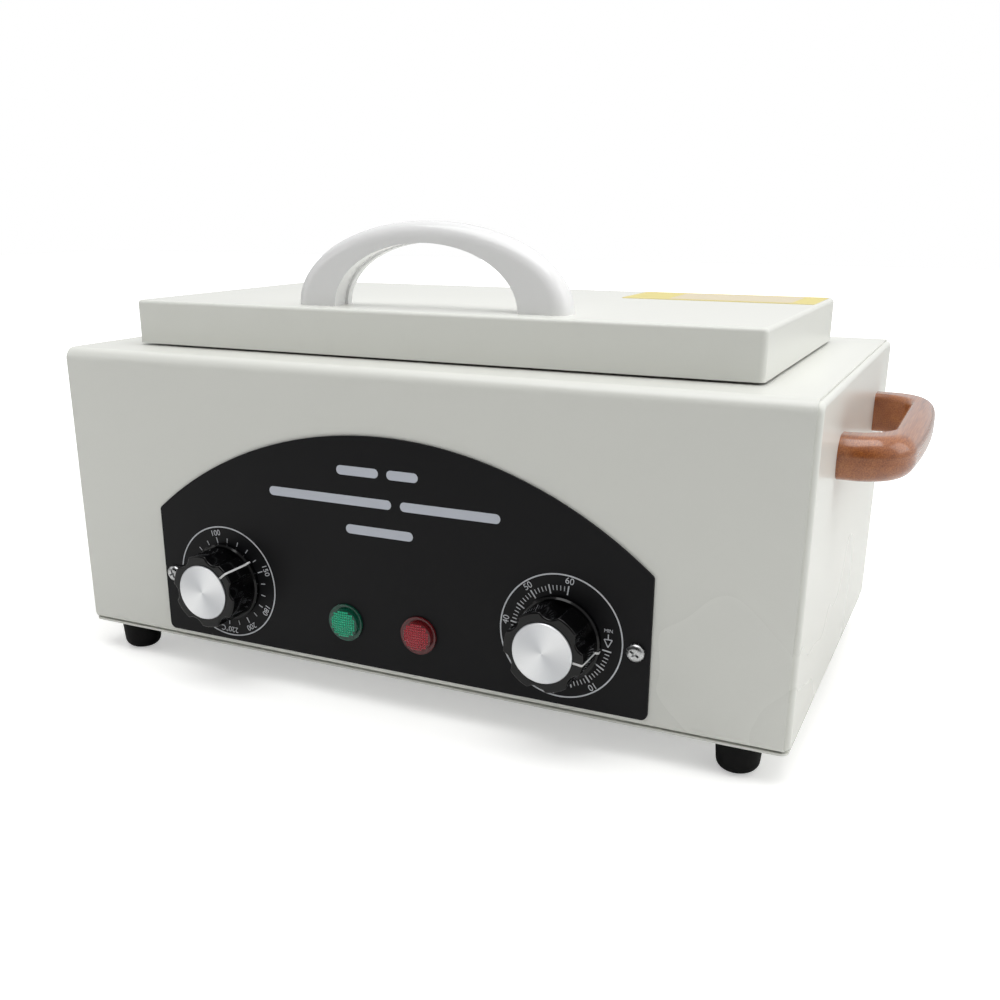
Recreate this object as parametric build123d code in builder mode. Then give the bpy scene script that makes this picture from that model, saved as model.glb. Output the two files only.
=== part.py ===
from build123d import *
from math import cos, radians, sin
import os

# A bench dry heat sterilizer: painted steel housing, hung tank, hinged lid, two dials.
# Millimetres. X runs to the right, Y to the back, Z up. The origin is on the bench,
# in the middle of the whole outline, knobs and inlet included.

os.makedirs("parts", exist_ok=True)

# Housing, with its room at the tank's sides, at its front and back, and under it
side_room = 37.0
end_room = 42.5
floor_room = 76.0
sheet = 0.8
base_sheet = 1.0
top_bend = 5.5
bottom_bend = 3.6
side_bend = 2.2
side_flange = 12.0
return_flange = 19.0
lap_gap = 0.1
base_inset = 0.8
base_corner = 3.5
base_screw_grip = 3.0
base_screw_head_radius = 3.0

# Feet
foot_height = 14.5
foot_top_radius = 9.9
foot_bottom_radius = 8.7
foot_round = 4.8
foot_inset_x = 22.0
foot_inset_y = 12.0
foot_screw_grip = 8.7
screw_tip_room = 1.0

# Lid, with its overhang past the tank and its offset towards the front
lid_side_overhang = 10.5
lid_end_overhang = 15.0
lid_height = 20.6
lid_gap = 1.0
lid_shift = 2.0
lid_corner = 2.6
lid_edge = 1.8
liner_sheet = 0.7
liner_height = 8.0
liner_fit = 0.15
lid_wool_inset = 6.0
lid_wool_room = 1.5

# Lid handle: an elliptical arch
arch_half_length = 67.5
arch_rise = 37.5
arch_inner_half_length = 45.6
arch_inner_rise = 28.4
arch_depth = 16.0
arch_outer_round = 6.4
arch_inner_round = 1.6
arch_groove_width = 6.5
arch_groove_depth = 1.3
arch_set_back = 19.0
arch_screw_grip = 11.0

# Lid label, a plain sticker
label_width = 94.0
label_depth = 44.5
label_thickness = 0.15
label_corner = 2.0
label_side_gap = 2.3
label_back_gap = 2.1

# Control panel with its arched top
panel_side_gap = 55.7
panel_shift = -2.1
panel_bottom = 4.6
panel_side_top = 67.0
panel_apex = 112.3
panel_sheet = 1.0
panel_corner = 3.0
panel_shoulder = 2.0
panel_screw_inset = 6.0
panel_screw_height = 34.3
panel_screw_grip = 5.0

# Dials and knobs
dial_shift = -3.0
dial_inset = 38.7
dial_height = 34.8
knob_gap = 0.6
knob_height = 18.0
skirt_radius = 18.8
skirt_thickness = 2.6
skirt_edge = 0.7
lobe_radius = 17.5
lobe_count = 6
scallop_radius = 5.4
scallop_depth = 2.3
lobe_corner = 1.2
knob_edge = 0.8
cap_radius = 13.1
cap_seat = 1.2
cap_proud = 0.9
cap_edge = 0.3
knob_cavity_radius = 10.5
knob_cavity_depth = 5.2
knob_bore_depth = 14.0
temperature_pointer = 38.7
timer_pointer = -8.3

# Controls behind the panel
shaft_radius = 3.0
shaft_flat = 1.2
shaft_run = 9.0
shaft_end_room = 1.0
shaft_shoulder = 0.5
bushing_radius = 4.9
bushing_proud = 0.8
nut_flats = 14.0
nut_height = 2.6
control_depth = 22.0
thermostat_width = 38.0
thermostat_height = 36.0
thermostat_corner = 3.0
timer_radius = 21.0
timer_round = 3.0
terminal_width = 6.0
terminal_sheet = 0.8
terminal_length = 7.0
terminal_offset = 12.0

# Lamps
lamp_spread = 19.0
lamp_height = 24.6
lens_radius = 7.1
lens_side = 2.8
lens_crown = 0.9
lens_flange_radius = 8.8
lens_flange = 1.2
lens_stub_radius = 4.6
lens_stub = 4.0
holder_radius = 5.9
holder_wall = 1.2
holder_length = 20.0
clip_radius = 8.8
clip_thickness = 1.4

# Tank, hung by its rim in the cut-out of the housing's top
tank_width = 286.0
tank_depth = 130.0
tank_height = 65.0
tank_sheet = 0.7
tank_corner = 14.0
tank_bottom_round = 7.0
tank_rim = 6.5
seal_inset = 1.0
seal_width = 4.5
seal_height = 2.5
seal_clearance = 0.2

# Instrument tray
tray_gap = 6.0
tray_height = 22.0
tray_corner = 9.0
tray_round = 3.0
tray_rim = 3.0
tray_stand = 4.0
tray_stand_radius = 4.0
tray_stand_inset = 20.0
tray_hole_radius = 3.0
tray_hole_pitch = 20.0
tray_hole_margin = 8.0
loop_wire_radius = 1.5
loop_half_width = 24.0
loop_rise = 20.0
loop_corner = 8.0
loop_leg = 12.0

# Heater, wool and shield under the tank
heater_radius = 3.3
heater_pitch = 24.0
heater_inset = 25.0
heater_turn_inset = 43.0
heater_drop_radius = 10.0
heater_tail = 8.0
heater_bend_room = 3.0
bracket_width = 12.0
bracket_sheet = 1.0
bracket_tab = 9.0
bracket_inset = 47.0
wool_side = 10.0
wool_floor = 8.0
soft_gap = 0.4
shield_sheet = 0.8
shield_flange = 10.0
bulb_radius = 2.5
bulb_length = 60.0
bulb_x = 10.0
capillary_radius = 0.9
capillary_bend = 9.0
capillary_last_bend = 5.0

# Hinges behind the lid
hinge_inset = 61.5
hinge_length = 38.0
leaf_thickness = 1.2
leaf_depth = 16.0
leaf_rise = 14.0
knuckle_radius = 3.2
hinge_gap = 0.4
knuckle_gap = 0.3
end_knuckle = 11.0
pin_radius = 1.6
hinge_screw_pitch = 24.0
hinge_screw_offset = 9.8
hinge_screw_length = 4.4

# Side handles, wooden bows
bow_half_length = 67.0
bow_reach = 30.0
bow_bulge = 3.6
bow_arm = 16.4
bow_grip = 12.5
bow_height = 18.5
bow_outer_corner = 22.0
bow_inner_corner = 17.0
bow_outer_round = 7.8
bow_inner_round = 3.0
bow_middle_height = 110.3
bow_shift = 6.3
bow_screw_depth = 18.0

# Mains inlet in the back, terminal block and leads
inlet_inset = 70.0
inlet_height = 32.0
inlet_width = 27.0
inlet_tall = 20.0
inlet_flange_width = 50.0
inlet_flange_tall = 24.0
inlet_flange = 2.5
inlet_flange_corner = 4.0
inlet_flange_round = 0.6
inlet_depth = 20.0
inlet_wall = 1.6
inlet_recess_depth = 16.5
inlet_key = 5.0
inlet_pin_width = 4.0
inlet_pin_thickness = 2.0
inlet_pin_pitch = 7.0
inlet_pin_lift = 3.0
inlet_pin_recess = 3.5
inlet_tab = 7.0
inlet_screw_pitch = 40.0
inlet_screw_grip = 3.0
block_length = 44.0
block_depth = 24.0
block_height = 14.0
block_hole_radius = 2.2
block_pitch_long = 11.0
block_pitch_deep = 12.0
block_set_back = 44.0
post_radius = 3.0
post_height = 5.0
post_set_back = 54.0
lead_radius = 1.2
lead_bend = 6.5
lead_spacing = 8.0

# Screws
screw_radius = 2.0
screw_clearance = 0.2
screw_head_radius = 4.0
screw_head_height = 2.5
screw_head_round = 1.5
screw_nut_flats = 7.0
screw_nut_height = 3.0
cross_length = 1.1
cross_width = 0.27
screw_fit = 0.03
small_screw_radius = 1.5
sink_head_radius = 2.5
inlet_sink_radius = 2.8
running_gap = 0.05
base_screw_pitch = 100.0
vent_pitch = 14.0
vent_length = 44.0
vent_width = 4.0
vent_count = 7

# Levels and places that follow from the sizes above
body_width = tank_width + 2 * side_room
body_depth = tank_depth + 2 * end_room
body_height = tank_height + floor_room
lid_width = tank_width + 2 * lid_side_overhang
lid_depth = tank_depth + 2 * lid_end_overhang
panel_half_width = body_width / 2 - panel_side_gap
dial_spread = panel_half_width - dial_inset
base_bottom = foot_height
base_top = base_bottom + base_sheet
housing_top = base_bottom + body_height
knob_front = panel_sheet + knob_gap + knob_height
middle_y = (knob_front + cap_proud - inlet_flange) / 2
front_y = middle_y - body_depth / 2
back_y = middle_y + body_depth / 2
side_x = body_width / 2
panel_y = front_y - panel_sheet
inside_y = front_y + sheet
control_y = inside_y + control_depth
lid_y = middle_y - lid_shift
lid_bottom = housing_top + lid_gap
lid_top = lid_bottom + lid_height
lid_back = lid_y + lid_depth / 2
wrap_width = body_width - 2 * (side_bend + lap_gap)
dial_z = base_bottom + dial_height
lamp_z = base_bottom + lamp_height
temperature_x = dial_shift - dial_spread
timer_x = dial_shift + dial_spread
tank_bottom = housing_top - tank_height
rim_top = housing_top + tank_sheet
tank_floor = tank_bottom + tank_sheet
liner_bottom = rim_top + seal_clearance + seal_height
liner_top = liner_bottom + liner_sheet
control_back = -panel_sheet - sheet


def front_plane(x, z, out=0.0, turn=0.0):
    """A plane facing forward, out in front of the panel, its x turned up by degrees."""
    along = (cos(radians(turn)), 0, sin(radians(turn)))
    return Plane(origin=(x, panel_y - out, z), x_dir=along, z_dir=(0, -1, 0))


def back_plane(x, z, out=0.0):
    """A plane facing backward, out behind the housing's back."""
    return Plane(origin=(x, back_y + out, z), x_dir=(-1, 0, 0), z_dir=(0, 1, 0))


def pan_screw(length, head_radius=screw_head_radius, radius=screw_radius):
    """A cross recessed pan head screw, its head's seat at the origin, head upwards."""
    with BuildPart() as screw:
        Cylinder(radius, length, align=(Align.CENTER, Align.CENTER, Align.MAX))
        Cylinder(head_radius, screw_head_height, align=(Align.CENTER, Align.CENTER, Align.MIN))
        fillet(screw.edges().filter_by(GeomType.CIRCLE).sort_by(Axis.Z)[-1], screw_head_round)
        long, wide = head_radius * cross_length, head_radius * cross_width
        with Locations((0, 0, screw_head_height)):
            Box(long, wide, screw_head_height, mode=Mode.SUBTRACT)
            Box(wide, long, screw_head_height, mode=Mode.SUBTRACT)
    return screw.part


def sunk_screw(length, head_radius=sink_head_radius):
    """A countersunk screw with its head's top at the origin."""
    head = head_radius - small_screw_radius
    with BuildPart() as screw:
        Cylinder(small_screw_radius, length, align=(Align.CENTER, Align.CENTER, Align.MAX))
        Cone(small_screw_radius, head_radius, head, align=(Align.CENTER, Align.CENTER, Align.MAX))
        Box(head_radius * cross_length, head_radius * cross_width, head, mode=Mode.SUBTRACT)
        Box(head_radius * cross_width, head_radius * cross_length, head, mode=Mode.SUBTRACT)
    return screw.part


def save(builder, label):
    builder.part.label = label
    export_step(builder.part, f"parts/{label}.step")


# Places that several pieces share
panel_screw_spread = panel_half_width - panel_screw_inset
panel_screw_places = [
    front_plane(panel_shift - panel_screw_spread, base_bottom + panel_screw_height),
    front_plane(panel_shift + panel_screw_spread, base_bottom + panel_screw_height),
]
lamp_places = {"green": dial_shift - lamp_spread, "red": dial_shift + lamp_spread}
foot_places = {
    "front_left": (foot_inset_x - side_x, front_y + foot_inset_y),
    "front_right": (side_x - foot_inset_x, front_y + foot_inset_y),
    "back_left": (foot_inset_x - side_x, back_y - foot_inset_y),
    "back_right": (side_x - foot_inset_x, back_y - foot_inset_y),
}
base_screw_places = [
    (x, y)
    for x in (-base_screw_pitch, 0, base_screw_pitch)
    for y in (front_y + return_flange / 2, back_y - return_flange / 2)
]
hinge_axis_y = lid_back + hinge_gap + knuckle_radius
hinge_axis_z = housing_top + hinge_gap + knuckle_radius
hinge_screw_shifts = (-hinge_screw_pitch / 2, hinge_screw_pitch / 2)
hinge_spread = lid_width / 2 - hinge_inset
hinge_places = {"left": -hinge_spread, "right": hinge_spread}
hinge_xs = [x + shift for x in hinge_places.values() for shift in hinge_screw_shifts]
bow_z = base_bottom + bow_middle_height
bow_y = middle_y + bow_shift
bow_screw_ys = (bow_y - bow_half_length + bow_arm / 2, bow_y + bow_half_length - bow_arm / 2)
inlet_x = inlet_inset - side_x
inlet_z = base_bottom + inlet_height
inlet_screw_xs = (inlet_x - inlet_screw_pitch / 2, inlet_x + inlet_screw_pitch / 2)

# Housing: front, top and back folded from one sheet, with inward flanges below
with BuildPart() as housing:
    with BuildSketch(Plane.YZ.offset(-wrap_width / 2)) as section:
        with Locations((middle_y, (base_top + housing_top) / 2)):
            Rectangle(body_depth, housing_top - base_top)
        fillet(section.vertices().group_by(Axis.Y)[-1], top_bend)
        fillet(section.vertices().group_by(Axis.Y)[0], bottom_bend)
        offset(amount=-sheet, mode=Mode.SUBTRACT)
        with Locations((middle_y, base_top)):
            Rectangle(body_depth - 2 * return_flange, 4 * sheet, mode=Mode.SUBTRACT)
    extrude(amount=wrap_width)
    with BuildSketch(Plane.XY.offset(housing_top)):
        with Locations((0, lid_y)):
            RectangleRounded(
                tank_width + 2 * (tank_sheet + soft_gap),
                tank_depth + 2 * (tank_sheet + soft_gap),
                tank_corner + tank_sheet + soft_gap,
            )
    extrude(amount=-2 * sheet, mode=Mode.SUBTRACT)
    with Locations(*panel_screw_places):
        Hole(screw_radius + screw_clearance, depth=2 * (panel_sheet + sheet))
    with Locations(front_plane(temperature_x, dial_z), front_plane(timer_x, dial_z)):
        Hole(bushing_radius + screw_clearance, depth=2 * (panel_sheet + sheet))
    with Locations(*[front_plane(x, lamp_z) for x in lamp_places.values()]):
        Hole(holder_radius + screw_clearance, depth=2 * (panel_sheet + sheet))
    with Locations(*[(x, y, base_top + sheet) for x, y in foot_places.values()]):
        Hole(screw_radius + screw_clearance, depth=2 * sheet)
    with Locations(*[(x, y, base_top + sheet) for x, y in base_screw_places]):
        Hole(small_screw_radius + screw_fit, depth=2 * sheet)
    with Locations(*[(x, hinge_axis_y + hinge_screw_offset, housing_top) for x in hinge_xs]):
        Hole(small_screw_radius + screw_fit, depth=2 * sheet)
    with BuildSketch(back_plane(inlet_x, inlet_z)):
        Rectangle(inlet_width + 2 * soft_gap, inlet_tall + 2 * soft_gap)
    extrude(amount=-2 * sheet, mode=Mode.SUBTRACT)
    with Locations(*[back_plane(x, inlet_z) for x in inlet_screw_xs]):
        Hole(small_screw_radius + screw_fit, depth=2 * sheet)
save(housing, "housing")

# Side panels: pans whose rims lie inside the housing sheet
pan_inset = sheet + lap_gap
with BuildPart() as side_panel_right:
    with BuildSketch(Plane.YZ.offset(side_x - side_flange)) as outline:
        with Locations((middle_y, (base_top + housing_top) / 2)):
            Rectangle(body_depth - 2 * pan_inset, housing_top - base_top - 2 * pan_inset)
        fillet(outline.vertices().group_by(Axis.Y)[-1], top_bend - pan_inset)
        fillet(outline.vertices().group_by(Axis.Y)[0], bottom_bend - pan_inset)
    extrude(amount=side_flange)
    fillet(side_panel_right.faces().sort_by(Axis.X)[-1].edges(), side_bend)
    offset(amount=-sheet, openings=side_panel_right.faces().sort_by(Axis.X)[0])
    with Locations(*[Plane(origin=(side_x, y, bow_z), z_dir=(1, 0, 0)) for y in bow_screw_ys]):
        Hole(screw_radius + screw_clearance, depth=2 * sheet)
save(side_panel_right, "side_panel_right")

with BuildPart() as side_panel_left:
    mirror(side_panel_right.part, about=Plane.YZ)
save(side_panel_left, "side_panel_left")

# Base plate with vent slots under the heater
with BuildPart() as base_plate:
    with BuildSketch(Plane.XY.offset(base_bottom)):
        with Locations((0, middle_y)):
            RectangleRounded(body_width - 2 * base_inset, body_depth - 2 * base_inset, base_corner)
    extrude(amount=base_sheet)
    with Locations(*[(x, y, base_top) for x, y in foot_places.values()]):
        Hole(screw_radius + screw_clearance, depth=base_sheet)
    with Locations(*[(x, y, base_top) for x, y in base_screw_places]):
        Hole(small_screw_radius + screw_clearance, depth=base_sheet)
    with BuildSketch(Plane.XY.offset(base_bottom)):
        with Locations((panel_shift, middle_y)):
            with GridLocations(vent_length + vent_pitch, vent_pitch, 2, vent_count):
                SlotOverall(vent_length, vent_width)
    extrude(amount=base_sheet, mode=Mode.SUBTRACT)
save(base_plate, "base_plate")

base_screw = pan_screw(base_sheet + sheet + base_screw_grip, base_screw_head_radius, small_screw_radius)
with BuildPart() as base_screws:
    with Locations(*[Plane(origin=(x, y, base_bottom), z_dir=(0, 0, -1)) for x, y in base_screw_places]):
        add(base_screw)
save(base_screws, "base_screws")

# Feet: tapered rubber bowls, each on a screw from inside
for name, (x, y) in foot_places.items():
    with BuildPart() as foot:
        with Locations((x, y, 0)):
            Cone(
                foot_bottom_radius,
                foot_top_radius,
                foot_height,
                align=(Align.CENTER, Align.CENTER, Align.MIN),
            )
        fillet(foot.edges().filter_by(GeomType.CIRCLE).sort_by(Axis.Z)[0], foot_round)
        with Locations((x, y, base_bottom)):
            Hole(screw_radius + screw_fit, depth=foot_screw_grip + screw_tip_room)
    save(foot, f"foot_{name}")

foot_screw = pan_screw(sheet + base_sheet + foot_screw_grip)
with BuildPart() as foot_screws:
    with Locations(*[(x, y, base_top + sheet) for x, y in foot_places.values()]):
        add(foot_screw)
save(foot_screws, "foot_screws")

# Control panel
with BuildPart() as control_panel:
    with BuildSketch(front_plane(panel_shift, base_bottom, out=-panel_sheet)) as face:
        with BuildLine():
            Polyline(
                (-panel_half_width, panel_side_top),
                (-panel_half_width, panel_bottom),
                (panel_half_width, panel_bottom),
                (panel_half_width, panel_side_top),
            )
            ThreePointArc(
                (panel_half_width, panel_side_top),
                (0, panel_apex),
                (-panel_half_width, panel_side_top),
            )
        make_face()
        fillet(face.vertices().group_by(Axis.Y)[0], panel_corner)
        fillet(face.vertices().group_by(Axis.Y)[-1], panel_shoulder)
    extrude(amount=panel_sheet)
    with Locations(*panel_screw_places):
        Hole(screw_radius + screw_clearance, depth=panel_sheet)
    with Locations(front_plane(temperature_x, dial_z), front_plane(timer_x, dial_z)):
        Hole(bushing_radius + screw_clearance, depth=panel_sheet)
    with Locations(*[front_plane(x, lamp_z) for x in lamp_places.values()]):
        Hole(holder_radius + screw_clearance, depth=panel_sheet)
save(control_panel, "control_panel")

panel_screw = pan_screw(panel_sheet + sheet + panel_screw_grip)
with BuildPart() as panel_screws:
    with Locations(*panel_screw_places):
        add(panel_screw)
save(panel_screws, "panel_screws")

with BuildPart() as panel_nuts:
    with BuildSketch(*[place.offset(control_back) for place in panel_screw_places]):
        RegularPolygon(screw_nut_flats / 2, 6, major_radius=False)
        Circle(screw_radius + screw_fit, mode=Mode.SUBTRACT)
    extrude(amount=-screw_nut_height)
save(panel_nuts, "panel_nuts")

# Temperature control: a capillary thermostat behind the panel
terminal_reach = control_depth + terminal_length
with BuildPart() as thermostat_body:
    with BuildSketch(front_plane(temperature_x, dial_z, out=control_back)):
        RectangleRounded(thermostat_width, thermostat_height, thermostat_corner)
    extrude(amount=-control_depth)
    with BuildSketch(front_plane(temperature_x, dial_z, out=control_back)):
        Circle(bushing_radius)
    extrude(amount=panel_sheet + sheet + nut_height + bushing_proud)
    with BuildSketch(front_plane(temperature_x, dial_z, out=control_back)):
        with GridLocations(2 * terminal_offset, terminal_width, 2, 1):
            Rectangle(terminal_sheet, terminal_width)
    extrude(amount=-terminal_reach)
    with Locations(front_plane(temperature_x, dial_z, out=nut_height + bushing_proud)):
        Hole(
            shaft_radius + running_gap,
            depth=nut_height + bushing_proud + panel_sheet + sheet + shaft_run + shaft_end_room,
        )
save(thermostat_body, "thermostat_body")

# Clockwork timer behind the panel
with BuildPart() as timer_body:
    with BuildSketch(front_plane(timer_x, dial_z, out=control_back)):
        Circle(timer_radius)
    extrude(amount=-control_depth)
    fillet(timer_body.faces().sort_by(Axis.Y)[-1].edges(), timer_round)
    with BuildSketch(front_plane(timer_x, dial_z, out=control_back)):
        Circle(bushing_radius)
    extrude(amount=panel_sheet + sheet + nut_height + bushing_proud)
    with BuildSketch(front_plane(timer_x, dial_z, out=control_back)):
        with GridLocations(2 * terminal_offset, terminal_width, 2, 1):
            Rectangle(terminal_sheet, terminal_width)
    extrude(amount=-terminal_reach)
    with Locations(front_plane(timer_x, dial_z, out=nut_height + bushing_proud)):
        Hole(
            shaft_radius + running_gap,
            depth=nut_height + bushing_proud + panel_sheet + sheet + shaft_run + shaft_end_room,
        )
save(timer_body, "timer_body")

with BuildPart() as control_nuts:
    with BuildSketch(front_plane(temperature_x, dial_z), front_plane(timer_x, dial_z)):
        RegularPolygon(nut_flats / 2, 6, major_radius=False)
        Circle(bushing_radius + screw_fit, mode=Mode.SUBTRACT)
    extrude(amount=nut_height)
save(control_nuts, "control_nuts")


def make_shaft(x, turn):
    """A round shaft in its bushing, flattened where the knob is pushed on."""
    flat_start = nut_height + bushing_proud + shaft_shoulder
    knob_end = knob_gap + knob_bore_depth
    with BuildPart() as shaft:
        with BuildSketch(front_plane(x, dial_z, -panel_sheet - sheet - shaft_run, turn)):
            Circle(shaft_radius)
        extrude(amount=knob_end + panel_sheet + sheet + shaft_run)
        with BuildSketch(front_plane(x, dial_z, flat_start, turn)):
            with Locations((shaft_radius, 0)):
                Rectangle(2 * shaft_flat, 2 * shaft_radius)
        extrude(amount=knob_end, mode=Mode.SUBTRACT)
    return shaft


def make_knob(x, turn):
    """A six lobed knob with a skirt, a seat for its cap and a flattened bore."""
    with BuildPart() as knob:
        with BuildSketch(front_plane(x, dial_z, knob_gap, turn)) as lobes:
            Circle(lobe_radius)
            with PolarLocations(
                lobe_radius + scallop_radius - scallop_depth, lobe_count, start_angle=180 / lobe_count
            ):
                Circle(scallop_radius, mode=Mode.SUBTRACT)
            fillet(lobes.vertices(), lobe_corner)
        extrude(amount=knob_height)
        fillet(knob.faces().sort_by(Axis.Y)[0].edges(), knob_edge)
        with BuildSketch(front_plane(x, dial_z, knob_gap, turn)):
            Circle(skirt_radius)
        extrude(amount=skirt_thickness)
        chamfer(
            knob.edges().filter_by(GeomType.CIRCLE).filter_by(lambda e: abs(e.radius - skirt_radius) < 0.01)
            .sort_by(Axis.Y)[0],
            skirt_edge,
        )
        with BuildSketch(front_plane(x, dial_z, knob_gap + knob_height, turn)):
            Circle(cap_radius + screw_fit)
        extrude(amount=-cap_seat, mode=Mode.SUBTRACT)
        with BuildSketch(front_plane(x, dial_z, knob_gap, turn)):
            Circle(knob_cavity_radius)
        extrude(amount=knob_cavity_depth, mode=Mode.SUBTRACT)
        with BuildSketch(front_plane(x, dial_z, knob_gap + knob_cavity_depth, turn)):
            Circle(shaft_radius + screw_fit)
            with Locations((shaft_radius + screw_fit, 0)):
                Rectangle(2 * shaft_flat, 3 * shaft_radius, mode=Mode.SUBTRACT)
        extrude(amount=knob_bore_depth - knob_cavity_depth + screw_fit, mode=Mode.SUBTRACT)
    return knob


def make_cap(x):
    """The turned aluminium disc let into the knob's front."""
    with BuildPart() as cap:
        with BuildSketch(front_plane(x, dial_z, knob_gap + knob_height - cap_seat)):
            Circle(cap_radius)
        extrude(amount=cap_seat + cap_proud)
        chamfer(cap.faces().sort_by(Axis.Y)[0].edges(), cap_edge)
    return cap


save(make_shaft(temperature_x, temperature_pointer), "thermostat_shaft")
save(make_shaft(timer_x, timer_pointer), "timer_shaft")
save(make_knob(temperature_x, temperature_pointer), "temperature_knob")
save(make_knob(timer_x, timer_pointer), "timer_knob")
save(make_cap(temperature_x), "temperature_knob_cap")
save(make_cap(timer_x), "timer_knob_cap")

# Indicator lamps: coloured lens, tubular holder, clip behind the sheet
for colour, x in lamp_places.items():
    lamp_axis = Axis((x, panel_y, lamp_z), (0, -1, 0))
    profile = Plane(origin=(x, panel_y, lamp_z), x_dir=(0, -1, 0), z_dir=(1, 0, 0))
    with BuildPart() as lens:
        with BuildSketch(profile):
            with BuildLine():
                Polyline(
                    (lens_side + lens_crown, 0),
                    (-lens_stub, 0),
                    (-lens_stub, lens_stub_radius),
                    (0, lens_stub_radius),
                    (0, lens_flange_radius),
                    (lens_flange, lens_flange_radius),
                    (lens_flange, lens_radius),
                    (lens_side, lens_radius),
                )
                TangentArc((lens_side + lens_crown, 0), (lens_side, lens_radius), tangent=(0, 1))
            make_face()
        revolve(axis=lamp_axis)
    save(lens, f"{colour}_lamp_lens")
    with BuildPart() as holder:
        with BuildSketch(front_plane(x, lamp_z)):
            Circle(holder_radius)
        extrude(amount=-holder_length)
        with BuildSketch(front_plane(x, lamp_z)):
            Circle(holder_radius - holder_wall)
        extrude(amount=holder_wall - holder_length, mode=Mode.SUBTRACT)
    save(holder, f"{colour}_lamp_holder")

with BuildPart() as lamp_clips:
    with BuildSketch(*[front_plane(x, lamp_z, -panel_sheet - sheet) for x in lamp_places.values()]):
        Circle(clip_radius)
        Circle(holder_radius + screw_fit, mode=Mode.SUBTRACT)
    extrude(amount=-clip_thickness)
save(lamp_clips, "lamp_clips")

# Tank: drawn in one piece with its rim
with BuildPart() as inner_tank:
    with BuildSketch(Plane.XY.offset(rim_top)):
        with Locations((0, lid_y)):
            RectangleRounded(
                tank_width + 2 * tank_sheet, tank_depth + 2 * tank_sheet, tank_corner + tank_sheet
            )
    extrude(amount=tank_bottom - rim_top)
    fillet(inner_tank.faces().sort_by(Axis.Z)[0].edges(), tank_bottom_round)
    offset(amount=-tank_sheet, openings=inner_tank.faces().sort_by(Axis.Z)[-1])
    with BuildSketch(Plane.XY.offset(housing_top)):
        with Locations((0, lid_y)):
            RectangleRounded(
                tank_width + 2 * tank_rim, tank_depth + 2 * tank_rim, tank_corner + tank_rim
            )
            RectangleRounded(tank_width, tank_depth, tank_corner, mode=Mode.SUBTRACT)
    extrude(amount=tank_sheet)
save(inner_tank, "inner_tank")

# Instrument tray: a perforated pan on four stands
tray_width = tank_width - 2 * tray_gap
tray_depth = tank_depth - 2 * tray_gap
holes_long = int((tray_width - 2 * tray_hole_margin) / tray_hole_pitch)
holes_deep = int((tray_depth - 2 * tray_hole_margin) / tray_hole_pitch)
tray_bottom = tank_floor + tray_stand
stand_places = [
    (sx * (tray_width / 2 - tray_stand_inset), lid_y + sy * (tray_depth / 2 - tray_stand_inset))
    for sx in (-1, 1)
    for sy in (-1, 1)
]
with BuildPart() as instrument_tray:
    with BuildSketch(Plane.XY.offset(tray_bottom)):
        with Locations((0, lid_y)):
            RectangleRounded(tray_width, tray_depth, tray_corner)
    extrude(amount=tray_height)
    fillet(instrument_tray.faces().sort_by(Axis.Z)[0].edges(), tray_round)
    offset(amount=-tank_sheet, openings=instrument_tray.faces().sort_by(Axis.Z)[-1])
    with BuildSketch(Plane.XY.offset(tray_bottom + tray_height - tank_sheet)):
        with Locations((0, lid_y)):
            RectangleRounded(tray_width + 2 * tray_rim, tray_depth + 2 * tray_rim, tray_corner + tray_rim)
            RectangleRounded(
                tray_width - tank_sheet, tray_depth - tank_sheet, tray_corner, mode=Mode.SUBTRACT
            )
    extrude(amount=tank_sheet)
    with BuildSketch(Plane.XY.offset(tray_bottom)):
        with Locations((0, lid_y)):
            with GridLocations(tray_hole_pitch, tray_hole_pitch, holes_long, holes_deep):
                Circle(tray_hole_radius)
    extrude(amount=tank_sheet, mode=Mode.SUBTRACT)
    with BuildSketch(Plane.XY.offset(tank_floor)):
        with Locations(*stand_places):
            Circle(tray_stand_radius)
    extrude(amount=tray_stand)
save(instrument_tray, "instrument_tray")

# Wire loops at the tray's ends, welded inside its walls
loop_top = tray_bottom + tray_height + loop_rise
loop_foot = tray_bottom + tray_height - loop_leg
for name, side in (("left", -1), ("right", 1)):
    loop_x = side * (tray_width / 2 - tank_sheet - loop_wire_radius - screw_fit)
    with BuildPart() as loop:
        with BuildLine() as loop_line:
            FilletPolyline(
                (loop_x, lid_y - loop_half_width, loop_foot),
                (loop_x, lid_y - loop_half_width, loop_top),
                (loop_x, lid_y + loop_half_width, loop_top),
                (loop_x, lid_y + loop_half_width, loop_foot),
                radius=loop_corner,
            )
        with BuildSketch(Plane.XY.offset(loop_foot)):
            with Locations((loop_x, lid_y - loop_half_width)):
                Circle(loop_wire_radius)
        sweep(path=loop_line.line)
    save(loop, f"tray_loop_{name}")

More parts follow.
